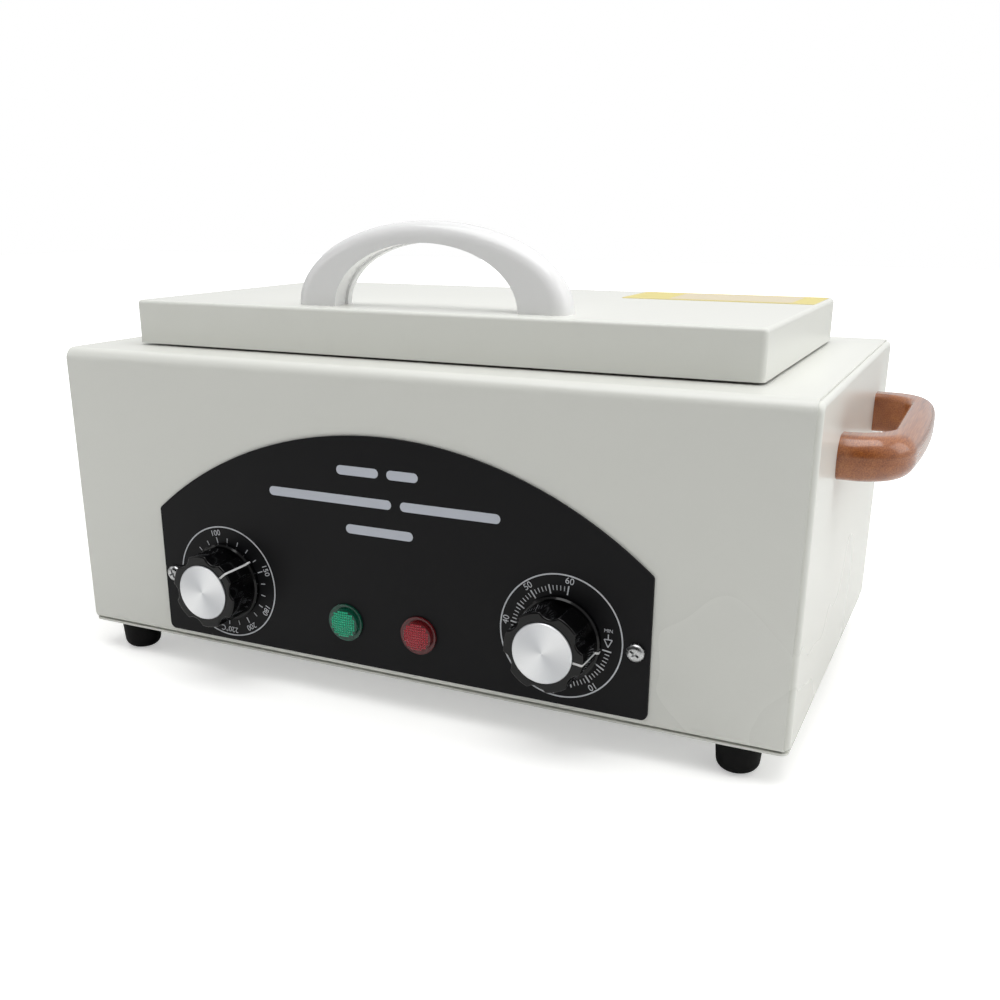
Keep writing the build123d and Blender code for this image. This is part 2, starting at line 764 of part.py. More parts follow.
# Heating element: a tube in four passes under the tank, both ends turned down
heater_end_x = tank_width / 2 - heater_inset
heater_turn_x = tank_width / 2 - heater_turn_inset
heater_z = tank_bottom - soft_gap - heater_radius
bracket_bottom = heater_z - heater_radius - lap_gap - bracket_sheet
wool_top = bracket_bottom - soft_gap
wool_bottom = wool_top - wool_floor
shield_bottom = wool_bottom - lap_gap - shield_sheet
heater_low = shield_bottom - heater_tail
passes = [lid_y + (i - 1.5) * heater_pitch for i in range(4)]
with BuildPart() as heating_element:
    with BuildLine() as heater_line:
        FilletPolyline(
            (heater_end_x, passes[0], heater_low),
            (heater_end_x, passes[0], heater_z),
            (-heater_end_x, passes[0], heater_z),
            (-heater_end_x, passes[1], heater_z),
            (heater_turn_x, passes[1], heater_z),
            (heater_turn_x, passes[2], heater_z),
            (-heater_end_x, passes[2], heater_z),
            (-heater_end_x, passes[3], heater_z),
            (heater_end_x, passes[3], heater_z),
            (heater_end_x, passes[3], heater_low),
            radius=[heater_drop_radius] + [heater_pitch / 2 - lap_gap] * 6 + [heater_drop_radius],
        )
    with BuildSketch(Plane.XY.offset(heater_low)):
        with Locations((heater_end_x, passes[0])):
            Circle(heater_radius)
    sweep(path=heater_line.line)
save(heating_element, "heating_element")

# Brackets: folded straps that hold the element up against the tank
strap_half = 1.5 * heater_pitch + heater_radius + lap_gap + bracket_sheet
bracket_spread = tank_width / 2 - bracket_inset
with BuildPart() as heater_brackets:
    with BuildSketch(Plane.YZ) as strap:
        with Locations((lid_y, (bracket_bottom + tank_bottom) / 2)):
            Rectangle(2 * strap_half, tank_bottom - bracket_bottom)
        with Locations((lid_y, (bracket_bottom + bracket_sheet + tank_bottom) / 2)):
            Rectangle(
                2 * (strap_half - bracket_sheet),
                tank_bottom - bracket_bottom - bracket_sheet,
                mode=Mode.SUBTRACT,
            )
        with Locations((lid_y, tank_bottom - bracket_sheet / 2)):
            with GridLocations(2 * strap_half + bracket_tab - bracket_sheet, bracket_tab, 2, 1):
                Rectangle(bracket_tab + bracket_sheet, bracket_sheet)
    for x in (-bracket_spread, 0, bracket_spread):
        extrude(strap.sketch.moved(Location((x - bracket_width / 2, 0, 0))), amount=bracket_width)
save(heater_brackets, "heater_brackets")

# Mineral wool round the tank and the element, and the shield that carries it
wool_width = tank_width + 2 * (tank_sheet + soft_gap + wool_side)
wool_depth = tank_depth + 2 * (tank_sheet + soft_gap + wool_side)
drop_places = [(heater_end_x, passes[0]), (heater_end_x, passes[3])]
wool_ceiling = housing_top - sheet - soft_gap
with BuildPart() as insulation_blanket:
    with BuildSketch(Plane.XY.offset(wool_bottom)):
        with Locations((0, lid_y)):
            RectangleRounded(wool_width, wool_depth, tank_corner + wool_side)
    extrude(amount=wool_ceiling - wool_bottom)
    with BuildSketch(Plane.XY.offset(wool_top)):
        with Locations((0, lid_y)):
            RectangleRounded(
                wool_width - 2 * wool_side, wool_depth - 2 * wool_side, tank_corner + tank_sheet + soft_gap
            )
    extrude(amount=wool_ceiling - wool_top, mode=Mode.SUBTRACT)
    with Locations(*[(x, y, wool_top) for x, y in drop_places]):
        Hole(heater_radius + heater_bend_room, depth=wool_floor)
    with Locations((temperature_x, lid_y, wool_top)):
        Hole(capillary_radius + soft_gap, depth=wool_floor)
save(insulation_blanket, "insulation_blanket")

shield_width = wool_width + 2 * (lap_gap + shield_sheet)
shield_depth = wool_depth + 2 * (lap_gap + shield_sheet)
shield_corner = tank_corner + wool_side + lap_gap + shield_sheet
shield_top = housing_top - sheet
with BuildPart() as heat_shield:
    with BuildSketch(Plane.XY.offset(shield_bottom)):
        with Locations((0, lid_y)):
            RectangleRounded(shield_width, shield_depth, shield_corner)
    extrude(amount=shield_top - shield_bottom)
    with BuildSketch(Plane.XY.offset(shield_bottom + shield_sheet)):
        with Locations((0, lid_y)):
            RectangleRounded(
                shield_width - 2 * shield_sheet,
                shield_depth - 2 * shield_sheet,
                shield_corner - shield_sheet,
            )
    extrude(amount=shield_top - shield_bottom, mode=Mode.SUBTRACT)
    with BuildSketch(Plane.XY.offset(shield_top - shield_sheet)):
        with Locations((0, lid_y)):
            RectangleRounded(
                shield_width + 2 * shield_flange,
                shield_depth + 2 * shield_flange,
                shield_corner + shield_flange,
            )
            RectangleRounded(
                shield_width - 2 * shield_sheet,
                shield_depth - 2 * shield_sheet,
                shield_corner - shield_sheet,
                mode=Mode.SUBTRACT,
            )
    extrude(amount=shield_sheet)
    with Locations(*[(x, y, shield_bottom + shield_sheet) for x, y in drop_places]):
        Hole(heater_radius + soft_gap, depth=shield_sheet)
    with Locations((temperature_x, lid_y, shield_bottom + shield_sheet)):
        Hole(capillary_radius + soft_gap, depth=shield_sheet)
save(heat_shield, "heat_shield")

# Sensing bulb between the passes, with its capillary down to the thermostat
bulb_z = tank_bottom - soft_gap - bulb_radius
bulb_start = bulb_x - bulb_length
with BuildPart() as sensor_capillary:
    with BuildLine() as capillary_line:
        FilletPolyline(
            (temperature_x, control_y, dial_z),
            (temperature_x, lid_y, dial_z),
            (temperature_x, lid_y, bulb_z),
            (bulb_start + bulb_radius, lid_y, bulb_z),
            radius=[capillary_bend, capillary_last_bend],
        )
    with BuildSketch(front_plane(temperature_x, dial_z, panel_y - control_y)):
        Circle(capillary_radius)
    sweep(path=capillary_line.line)
    with BuildSketch(Plane.YZ.offset(bulb_start)):
        with Locations((lid_y, bulb_z)):
            Circle(bulb_radius)
    extrude(amount=bulb_length)
save(sensor_capillary, "sensor_capillary")

# Lid: a drawn shell, open below
handle_y = lid_y - lid_depth / 2 + arch_set_back
handle_screw_x = (arch_half_length + arch_inner_half_length) / 2
handle_screw_places = [(-handle_screw_x, handle_y), (handle_screw_x, handle_y)]
lid_screw_z = hinge_axis_z + hinge_screw_offset
lid_screw_places = [Plane(origin=(x, lid_back, lid_screw_z), z_dir=(0, 1, 0)) for x in hinge_xs]
with BuildPart() as lid_shell:
    with BuildSketch(Plane.XY.offset(lid_bottom)):
        with Locations((0, lid_y)):
            RectangleRounded(lid_width, lid_depth, lid_corner)
    extrude(amount=lid_height)
    fillet(lid_shell.faces().sort_by(Axis.Z)[-1].edges(), lid_edge)
    offset(amount=-sheet, openings=lid_shell.faces().sort_by(Axis.Z)[0])
    with Locations(*[(x, y, lid_top) for x, y in handle_screw_places]):
        Hole(screw_radius + screw_clearance, depth=sheet)
    with Locations(*lid_screw_places):
        Hole(small_screw_radius + screw_fit, depth=2 * sheet)
save(lid_shell, "lid_shell")

with BuildPart() as lid_liner:
    with BuildSketch(Plane.XY.offset(liner_bottom)):
        with Locations((0, lid_y)):
            RectangleRounded(
                lid_width - 2 * (sheet + liner_fit),
                lid_depth - 2 * (sheet + liner_fit),
                lid_corner - sheet,
            )
    extrude(amount=liner_height)
    offset(amount=-liner_sheet, openings=lid_liner.faces().sort_by(Axis.Z)[-1])
save(lid_liner, "lid_liner")

seal_outer = tank_rim - seal_inset
seal_inner = seal_outer - seal_width
with BuildPart() as lid_seal:
    with BuildSketch(Plane.XY.offset(rim_top + seal_clearance)):
        with Locations((0, lid_y)):
            RectangleRounded(
                tank_width + 2 * seal_outer, tank_depth + 2 * seal_outer, tank_corner + seal_outer
            )
            RectangleRounded(
                tank_width + 2 * seal_inner,
                tank_depth + 2 * seal_inner,
                tank_corner + seal_inner,
                mode=Mode.SUBTRACT,
            )
    extrude(amount=seal_height)
save(lid_seal, "lid_seal")

lid_ceiling = lid_top - sheet
with BuildPart() as lid_insulation:
    with BuildSketch(Plane.XY.offset(liner_top + lap_gap)):
        with Locations((0, lid_y)):
            Rectangle(lid_width - 2 * lid_wool_inset, lid_depth - 2 * lid_wool_inset)
    extrude(amount=lid_ceiling - liner_top - lap_gap - soft_gap)
    with Locations(*[(x, y, lid_ceiling) for x, y in handle_screw_places]):
        Hole(screw_head_radius + lid_wool_room, depth=screw_head_height + lid_wool_room)
save(lid_insulation, "lid_insulation")

label_x = lid_width / 2 - label_side_gap - label_width / 2
label_y = lid_back - label_back_gap - label_depth / 2
with BuildPart() as lid_label:
    with BuildSketch(Plane.XY.offset(lid_top)):
        with Locations((label_x, label_y)):
            RectangleRounded(label_width, label_depth, label_corner)
    extrude(amount=label_thickness)
save(lid_label, "lid_label")

# Lid handle: a moulded arch with a groove along its underside
with BuildPart() as lid_handle:
    with BuildSketch(Plane(origin=(0, handle_y, lid_top), x_dir=(1, 0, 0), z_dir=(0, -1, 0))):
        Ellipse(arch_half_length, arch_rise)
        Ellipse(arch_inner_half_length, arch_inner_rise, mode=Mode.SUBTRACT)
        with Locations((0, -arch_rise)):
            Rectangle(3 * arch_half_length, 2 * arch_rise, mode=Mode.SUBTRACT)
    extrude(amount=arch_depth / 2, both=True)
    arches = lid_handle.edges().filter_by(GeomType.ELLIPSE).sort_by(Axis.Z)
    fillet(arches[-2:], arch_outer_round)
    arches = lid_handle.edges().filter_by(GeomType.ELLIPSE).sort_by(Axis.Z)
    fillet(arches[:2], arch_inner_round)
    with BuildSketch(Plane(origin=(0, handle_y, lid_top), x_dir=(1, 0, 0), z_dir=(0, -1, 0))):
        Ellipse(arch_inner_half_length + arch_groove_depth, arch_inner_rise + arch_groove_depth)
    extrude(amount=arch_groove_width / 2, both=True, mode=Mode.SUBTRACT)
    with Locations(*[Plane(origin=(x, y, lid_top), z_dir=(0, 0, -1)) for x, y in handle_screw_places]):
        Hole(screw_radius + screw_fit, depth=arch_screw_grip + screw_tip_room)
save(lid_handle, "lid_handle")

handle_screw = pan_screw(sheet + arch_screw_grip)
with BuildPart() as lid_handle_screws:
    with Locations(
        *[Plane(origin=(x, y, lid_ceiling), z_dir=(0, 0, -1)) for x, y in handle_screw_places]
    ):
        add(handle_screw)
save(lid_handle_screws, "lid_handle_screws")

# Hinges: the housing's leaf holds the end knuckles, the lid's leaf the middle one
middle_knuckle = hinge_length - 2 * (end_knuckle + knuckle_gap)
sunk = sunk_screw(hinge_screw_length)
for name, x in hinge_places.items():
    end_xs = (x - hinge_length / 2, x + hinge_length / 2 - end_knuckle)
    with BuildPart() as fixed_leaf:
        with BuildSketch(Plane.XY.offset(housing_top)):
            with Locations((x, hinge_axis_y + leaf_depth / 2)):
                Rectangle(hinge_length, leaf_depth)
            with Locations((x, hinge_axis_y)):
                Rectangle(
                    middle_knuckle + 2 * knuckle_gap, 2 * (knuckle_radius + hinge_gap), mode=Mode.SUBTRACT
                )
        extrude(amount=leaf_thickness)
        for end_x in end_xs:
            with BuildSketch(Plane.YZ.offset(end_x)):
                with Locations((hinge_axis_y, hinge_axis_z)):
                    Circle(knuckle_radius)
            extrude(amount=end_knuckle)
        with BuildSketch(Plane.YZ.offset(x - hinge_length / 2)):
            with Locations((hinge_axis_y, hinge_axis_z)):
                Circle(pin_radius + screw_fit)
        extrude(amount=hinge_length, mode=Mode.SUBTRACT)
        with Locations(
            *[
                (x + s, hinge_axis_y + hinge_screw_offset, housing_top + leaf_thickness)
                for s in hinge_screw_shifts
            ]
        ):
            CounterSinkHole(
                small_screw_radius + screw_fit, sink_head_radius + screw_fit, leaf_thickness, 90
            )
    save(fixed_leaf, f"hinge_fixed_leaf_{name}")
    with BuildPart() as lid_leaf:
        with BuildSketch(Plane(origin=(x, lid_back, hinge_axis_z), x_dir=(-1, 0, 0), z_dir=(0, 1, 0))):
            with Locations((0, leaf_rise / 2)):
                Rectangle(hinge_length, leaf_rise)
            for side in (-1, 1):
                with Locations((side * (hinge_length - end_knuckle - knuckle_gap) / 2, 0)):
                    Rectangle(
                        end_knuckle + knuckle_gap, 2 * (knuckle_radius + hinge_gap), mode=Mode.SUBTRACT
                    )
        extrude(amount=leaf_thickness)
        with BuildSketch(Plane.YZ.offset(x - middle_knuckle / 2)):
            with Locations((hinge_axis_y, hinge_axis_z)):
                Circle(knuckle_radius)
        extrude(amount=middle_knuckle)
        with BuildSketch(Plane.YZ.offset(x - hinge_length / 2)):
            with Locations((hinge_axis_y, hinge_axis_z)):
                Circle(pin_radius + running_gap)
        extrude(amount=hinge_length, mode=Mode.SUBTRACT)
        with Locations(
            *[
                Plane(origin=(x + s, lid_back + leaf_thickness, lid_screw_z), z_dir=(0, 1, 0))
                for s in hinge_screw_shifts
            ]
        ):
            CounterSinkHole(
                small_screw_radius + screw_fit, sink_head_radius + screw_fit, leaf_thickness, 90
            )
    save(lid_leaf, f"hinge_lid_leaf_{name}")
    with BuildPart() as pin:
        with BuildSketch(Plane.YZ.offset(x - hinge_length / 2)):
            with Locations((hinge_axis_y, hinge_axis_z)):
                Circle(pin_radius)
        extrude(amount=hinge_length)
    save(pin, f"hinge_pin_{name}")

with BuildPart() as hinge_screws:
    with Locations(
        *[(x, hinge_axis_y + hinge_screw_offset, housing_top + leaf_thickness) for x in hinge_xs]
    ):
        add(sunk)
save(hinge_screws, "hinge_screws")

with BuildPart() as lid_hinge_screws:
    with Locations(
        *[Plane(origin=(x, lid_back + leaf_thickness, lid_screw_z), z_dir=(0, 1, 0)) for x in hinge_xs]
    ):
        add(sunk)
save(lid_hinge_screws, "lid_hinge_screws")

# Side handles: bows of varnished wood, lying level against the side panels
bow_shoulder = bow_reach - bow_bulge


def in_opening(edge):
    """Whether an edge of the bow lies on the opening's side."""
    place = edge.center()
    inside_x = place.X < side_x + bow_reach - bow_grip + bow_inner_round
    return inside_x and abs(place.Y - bow_y) < bow_half_length - bow_arm + bow_inner_round


with BuildPart() as side_handle_right:
    with BuildSketch(Plane(origin=(side_x, bow_y, bow_z), z_dir=(0, 0, 1))) as bow:
        with BuildLine():
            Polyline(
                (bow_shoulder, bow_half_length),
                (0, bow_half_length),
                (0, -bow_half_length),
                (bow_shoulder, -bow_half_length),
            )
            ThreePointArc((bow_shoulder, -bow_half_length), (bow_reach, 0), (bow_shoulder, bow_half_length))
        make_face()
        fillet(bow.vertices().group_by(Axis.X)[-1], bow_outer_corner)
    extrude(amount=bow_height / 2, both=True)
    with BuildSketch(Plane(origin=(side_x, bow_y, bow_z), z_dir=(0, 0, 1))) as gap:
        Rectangle(2 * (bow_reach - bow_grip), 2 * (bow_half_length - bow_arm))
        fillet(gap.vertices(), bow_inner_corner)
    extrude(amount=bow_height, both=True, mode=Mode.SUBTRACT)
    rims = side_handle_right.edges().filter_by(
        lambda e: abs(abs(e.center().Z - bow_z) - bow_height / 2) < 0.01 and e.center().X > side_x + 0.5
    )
    opening_edges = rims.filter_by(in_opening)
    fillet(rims.filter_by(lambda e: not in_opening(e)), bow_outer_round)
    fillet(opening_edges, bow_inner_round)
    with Locations(*[Plane(origin=(side_x, y, bow_z), z_dir=(-1, 0, 0)) for y in bow_screw_ys]):
        Hole(screw_radius + screw_fit, depth=bow_screw_depth)
save(side_handle_right, "side_handle_right")

with BuildPart() as side_handle_left:
    mirror(side_handle_right.part, about=Plane.YZ)
save(side_handle_left, "side_handle_left")

bow_screw = pan_screw(sheet + bow_screw_depth - screw_tip_room)
with BuildPart() as side_handle_screws:
    for side in (-1, 1):
        with Locations(
            *[Plane(origin=(side * (side_x - sheet), y, bow_z), z_dir=(-side, 0, 0)) for y in bow_screw_ys]
        ):
            add(bow_screw)
save(side_handle_screws, "side_handle_screws")

# Mains inlet: a socket with three flat pins
pin_spots = [(-inlet_pin_pitch, 0), (0, inlet_pin_lift), (inlet_pin_pitch, 0)]
with BuildPart() as power_inlet:
    with BuildSketch(back_plane(inlet_x, inlet_z)):
        RectangleRounded(inlet_flange_width, inlet_flange_tall, inlet_flange_corner)
    extrude(amount=inlet_flange)
    fillet(power_inlet.faces().sort_by(Axis.Y)[-1].edges(), inlet_flange_round)
    with BuildSketch(back_plane(inlet_x, inlet_z)):
        Rectangle(inlet_width, inlet_tall)
    extrude(amount=-inlet_depth)
    with BuildSketch(back_plane(inlet_x, inlet_z, inlet_flange)) as recess:
        Rectangle(inlet_width - 2 * inlet_wall, inlet_tall - 2 * inlet_wall)
        chamfer(recess.vertices().group_by(Axis.Y)[-1], inlet_key)
    extrude(amount=-inlet_recess_depth, mode=Mode.SUBTRACT)
    with BuildSketch(back_plane(inlet_x, inlet_z, -inlet_depth)):
        with Locations(*pin_spots):
            Rectangle(inlet_pin_thickness + 2 * screw_fit, inlet_pin_width + 2 * screw_fit)
    extrude(amount=inlet_depth, mode=Mode.SUBTRACT)
    with Locations(*[back_plane(x, inlet_z, inlet_flange) for x in inlet_screw_xs]):
        CounterSinkHole(
            small_screw_radius + screw_fit, inlet_sink_radius + screw_fit, inlet_flange + sheet, 90
        )
save(power_inlet, "power_inlet")

with BuildPart() as inlet_pins:
    with BuildSketch(back_plane(inlet_x, inlet_z, -inlet_depth - inlet_tab)):
        with Locations(*pin_spots):
            Rectangle(inlet_pin_thickness, inlet_pin_width)
    extrude(amount=inlet_depth + inlet_tab + inlet_flange - inlet_pin_recess)
save(inlet_pins, "inlet_pins")

inlet_screw = sunk_screw(inlet_flange + sheet + inlet_screw_grip, head_radius=inlet_sink_radius)
with BuildPart() as inlet_screws:
    with Locations(*[back_plane(x, inlet_z, inlet_flange) for x in inlet_screw_xs]):
        add(inlet_screw)
save(inlet_screws, "inlet_screws")

# Terminal block and earth post on the base plate
block_y = back_y - block_set_back
post_y = back_y - post_set_back
with BuildPart() as terminal_block:
    with BuildSketch(Plane.XY.offset(base_top)):
        with Locations((panel_shift, block_y)):
            Rectangle(block_length, block_depth)
    extrude(amount=block_height)
    with BuildSketch(Plane.XY.offset(base_top + block_height)):
        with Locations((panel_shift, block_y)):
            with GridLocations(block_pitch_long, block_pitch_deep, 4, 2):
                Circle(block_hole_radius)
    extrude(amount=-block_height / 2, mode=Mode.SUBTRACT)
save(terminal_block, "terminal_block")

with BuildPart() as earth_post:
    with BuildSketch(Plane.XY.offset(base_top)):
        with Locations((inlet_x, post_y)):
            RegularPolygon(post_radius, 6)
    extrude(amount=post_height)
save(earth_post, "earth_post")

# Leads, each along straight runs joined by arcs
lead_z = base_top + block_height / 2
pin_back = back_y - inlet_depth - inlet_tab
terminal_y = inside_y + terminal_reach
block_left = panel_shift - block_length / 2
block_right = panel_shift + block_length / 2
block_front = block_y - block_depth / 2
holder_back = panel_y + holder_length
turn_y = terminal_y + 2 * lead_spacing
leads = {
    "live": [
        (inlet_x + inlet_pin_pitch, pin_back, inlet_z),
        (inlet_x + inlet_pin_pitch, block_y, inlet_z),
        (inlet_x + inlet_pin_pitch, block_y, lead_z),
        (block_left, block_y, lead_z),
    ],
    "earth": [
        (inlet_x, pin_back, inlet_z + inlet_pin_lift),
        (inlet_x, post_y, inlet_z + inlet_pin_lift),
        (inlet_x, post_y, base_top + post_height),
    ],
    "to_thermostat": [
        (block_left, block_y - lead_spacing, lead_z),
        (temperature_x + terminal_offset, block_y - lead_spacing, lead_z),
        (temperature_x + terminal_offset, turn_y, lead_z),
        (temperature_x + terminal_offset, turn_y, dial_z),
        (temperature_x + terminal_offset, terminal_y, dial_z),
    ],
    "thermostat_to_timer": [
        (temperature_x - terminal_offset, terminal_y, dial_z),
        (temperature_x - terminal_offset, turn_y + lead_spacing, dial_z),
        (temperature_x - terminal_offset, turn_y + lead_spacing, dial_z - 2 * lead_spacing),
        (timer_x - terminal_offset, turn_y + lead_spacing, dial_z - 2 * lead_spacing),
        (timer_x - terminal_offset, turn_y + lead_spacing, dial_z),
        (timer_x - terminal_offset, terminal_y, dial_z),
    ],
    "timer_to_heater": [
        (timer_x + terminal_offset, terminal_y, dial_z),
        (timer_x + terminal_offset, passes[0], dial_z),
        (heater_end_x, passes[0], dial_z),
        (heater_end_x, passes[0], heater_low),
    ],
    "heater_return": [
        (heater_end_x, passes[3], heater_low),
        (heater_end_x, passes[3], lead_z),
        (heater_end_x, block_y, lead_z),
        (block_right, block_y, lead_z),
    ],
    "green_lamp": [
        (lamp_places["green"], holder_back, lamp_z),
        (lamp_places["green"], holder_back + 2 * lead_spacing, lamp_z),
        (lamp_places["green"], holder_back + 2 * lead_spacing, lead_z),
        (lamp_places["green"], block_front, lead_z),
    ],
    "red_lamp": [
        (lamp_places["red"], holder_back, lamp_z),
        (lamp_places["red"], holder_back + 2 * lead_spacing, lamp_z),
        (lamp_places["red"], holder_back + 2 * lead_spacing, lead_z),
        (lamp_places["red"], block_front, lead_z),
    ],
}
with BuildPart() as wiring_loom:
    for route in leads.values():
        with BuildLine(mode=Mode.PRIVATE) as lead_line:
            FilletPolyline(*route, radius=lead_bend)
        start = lead_line.line @ 0
        direction = lead_line.line % 0
        with BuildSketch(Plane(origin=start, z_dir=direction)):
            Circle(lead_radius)
        sweep(path=lead_line.line)
save(wiring_loom, "wiring_loom")
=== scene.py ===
from math import cos, floor, pi, radians, sin
import bmesh
import bpy
from mathutils import Matrix, Vector


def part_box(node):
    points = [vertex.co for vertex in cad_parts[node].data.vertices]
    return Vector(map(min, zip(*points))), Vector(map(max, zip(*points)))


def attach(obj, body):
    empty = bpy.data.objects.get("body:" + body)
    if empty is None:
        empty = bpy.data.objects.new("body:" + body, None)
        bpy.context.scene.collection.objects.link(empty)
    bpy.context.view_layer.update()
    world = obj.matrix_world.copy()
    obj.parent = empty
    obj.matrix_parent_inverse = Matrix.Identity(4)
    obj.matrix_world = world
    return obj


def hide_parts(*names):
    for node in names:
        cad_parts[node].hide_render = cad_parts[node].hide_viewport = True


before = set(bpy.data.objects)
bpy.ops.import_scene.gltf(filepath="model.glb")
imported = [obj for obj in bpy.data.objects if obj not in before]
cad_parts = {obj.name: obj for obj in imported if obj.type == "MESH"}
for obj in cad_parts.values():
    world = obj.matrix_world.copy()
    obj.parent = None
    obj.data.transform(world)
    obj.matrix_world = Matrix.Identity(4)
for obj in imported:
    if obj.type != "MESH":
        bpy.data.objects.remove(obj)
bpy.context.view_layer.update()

# dry heat sterilizer: painted box, hinged lid, black panel with two dials
mm = 0.001
scene = bpy.context.scene
scene.view_settings.view_transform = "Standard"


def linkObject(name, data):
    item = bpy.data.objects.new(name, data)
    scene.collection.objects.link(item)
    return item


# camera, solved from the corners of the box
camera = {
    "place": (0.236867, -0.500962, 0.220744),
    "azimuth": 25.67,
    "elevation": 18.597,
    "lens": 39.65,
    "sensor": 36,
    "shift": (0.0244, 0.0763),
    "near": 0.01,
}


def addCamera():
    data = bpy.data.cameras.new("photoCamera")
    data.sensor_width = camera["sensor"]
    data.lens = camera["lens"]
    data.shift_x, data.shift_y = camera["shift"]
    data.clip_start = camera["near"]
    eye = linkObject("photoCamera", data)
    eye.location = camera["place"]
    eye.rotation_euler = (radians(90 - camera["elevation"]), 0, radians(camera["azimuth"]))
    scene.camera = eye


addCamera()
print("camera set")


# small tools for materials and pieces
def linearColour(text):
    levels = [int(text[i:i + 2], 16) / 255 for i in (1, 3, 5)]
    linear = [level / 12.92 if level <= 0.04045 else ((level + 0.055) / 1.055) ** 2.4 for level in levels]
    return (*linear, 1)


def addNode(tree, kind, settings=None, inputs=None):
    node = tree.nodes.new(kind)
    for name, value in (settings or {}).items():
        setattr(node, name, value)
    for name, value in (inputs or {}).items():
        if isinstance(value, bpy.types.NodeSocket):
            tree.links.new(value, node.inputs[name])
        else:
            node.inputs[name].default_value = value
    return node


def newMaterial(name, colour, roughness, metallic=0.0):
    material = bpy.data.materials.new(name)
    material.use_nodes = True
    tree = material.node_tree
    shader = tree.nodes["Principled BSDF"]
    shader.inputs["Base Color"].default_value = linearColour(colour)
    shader.inputs["Roughness"].default_value = roughness
    shader.inputs["Metallic"].default_value = metallic
    material.diffuse_color = linearColour(colour)
    where = addNode(tree, "ShaderNodeTexCoord").outputs["Object"]
    return material, tree, shader, where


def dress(material, *nodes):
    for name in nodes:
        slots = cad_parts[name].data.materials
        slots.clear()
        slots.append(material)


def addPiece(name, mesh, body, material=None):
    if material is not None:
        mesh.materials.clear()
        mesh.materials.append(material)
    piece = linkObject(name, mesh)
    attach(piece, body)
    return piece


def smooth(mesh, angle):
    mesh.shade_smooth()
    mesh.set_sharp_from_angle(angle=radians(angle))
    return mesh


def middle(node):
    low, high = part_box(node)
    return (low + high) / 2


# small tools for meshes
def closeMesh(work, name):
    mesh = bpy.data.meshes.new(name)
    work.to_mesh(mesh)
    work.free()
    return mesh


def joined(name, meshes):
    work = bmesh.new()
    for mesh in meshes:
        work.from_mesh(mesh)
    return closeMesh(work, name)


def bridge(work, first, second):
    for i in range(len(first)):
        j = (i + 1) % len(first)
        work.faces.new((first[i], first[j], second[j], second[i]))


def evaluatedMesh(item):
    bpy.context.view_layer.update()
    graph = bpy.context.evaluated_depsgraph_get()
    return bpy.data.meshes.new_from_object(item.evaluated_get(graph), depsgraph=graph)


# powder coat: thick baked polyester, softly glossy, with a faint orange peel; sizes of patterns in mm
paint = {
    "colour": "#E9EAE4", "roughness": 0.27, "spread": 0.012, "ior": 1.5, "peel": 1.3, "depth": 0.010,
    "cloud": 111.1, "cloudLow": 0.3, "cloudHigh": 0.7, "tone": 0.005,
}


def powderCoat():
    material, tree, shader, where = newMaterial("powderCoatIvory", paint["colour"], paint["roughness"])
    peel = addNode(tree, "ShaderNodeTexNoise", None, {
        "Vector": where, "Scale": 1000 / paint["peel"], "Detail": 1.0, "Roughness": 0.4})
    bump = addNode(tree, "ShaderNodeBump", None, {
        "Height": peel.outputs[0], "Distance": paint["depth"] * mm, "Strength": 1.0})
    cloud = addNode(tree, "ShaderNodeTexNoise", None, {
        "Vector": where, "Scale": 1000 / paint["cloud"], "Detail": 2.0})
    tone = addNode(tree, "ShaderNodeMapRange", None, {
        "Value": cloud.outputs[0], "From Min": paint["cloudLow"], "From Max": paint["cloudHigh"],
        "To Min": 1 - paint["tone"], "To Max": 1 + paint["tone"]})
    colour = addNode(tree, "ShaderNodeVectorMath", {"operation": "SCALE"}, {
        0: linearColour(paint["colour"])[:3], "Scale": tone.outputs[0]})
    sheen = addNode(tree, "ShaderNodeMapRange", None, {
        "Value": cloud.outputs[0], "To Min": paint["roughness"] - paint["spread"],
        "To Max": paint["roughness"] + paint["spread"]})
    tree.links.new(colour.outputs[0], shader.inputs["Base Color"])
    tree.links.new(sheen.outputs[0], shader.inputs["Roughness"])
    tree.links.new(bump.outputs[0], shader.inputs["Normal"])
    shader.inputs["IOR"].default_value = paint["ior"]
    return material


# satin stove enamel on the panel: near black, fine even grain
panelEnamel = {
    "colour": "#151517", "roughness": 0.42, "spread": 0.05, "shine": 0.16, "grain": 0.5, "depth": 0.006,
    "cloud": 40,
}


def satinEnamel():
    material, tree, shader, where = newMaterial(
        "satinBlackEnamel", panelEnamel["colour"], panelEnamel["roughness"])
    grain = addNode(tree, "ShaderNodeTexNoise", None, {
        "Vector": where, "Scale": 1000 / panelEnamel["grain"], "Detail": 2.0})
    bump = addNode(tree, "ShaderNodeBump", None, {
        "Height": grain.outputs[0], "Distance": panelEnamel["depth"] * mm, "Strength": 1.0})
    cloud = addNode(tree, "ShaderNodeTexNoise", None, {
        "Vector": where, "Scale": 1000 / panelEnamel["cloud"], "Detail": 3.0})
    sheen = addNode(tree, "ShaderNodeMapRange", None, {
        "Value": cloud.outputs[0], "To Min": panelEnamel["roughness"] - panelEnamel["spread"],
        "To Max": panelEnamel["roughness"] + panelEnamel["spread"]})
    shader.inputs["Specular IOR Level"].default_value = panelEnamel["shine"]
    tree.links.new(sheen.outputs[0], shader.inputs["Roughness"])
    tree.links.new(bump.outputs[0], shader.inputs["Normal"])
    return material


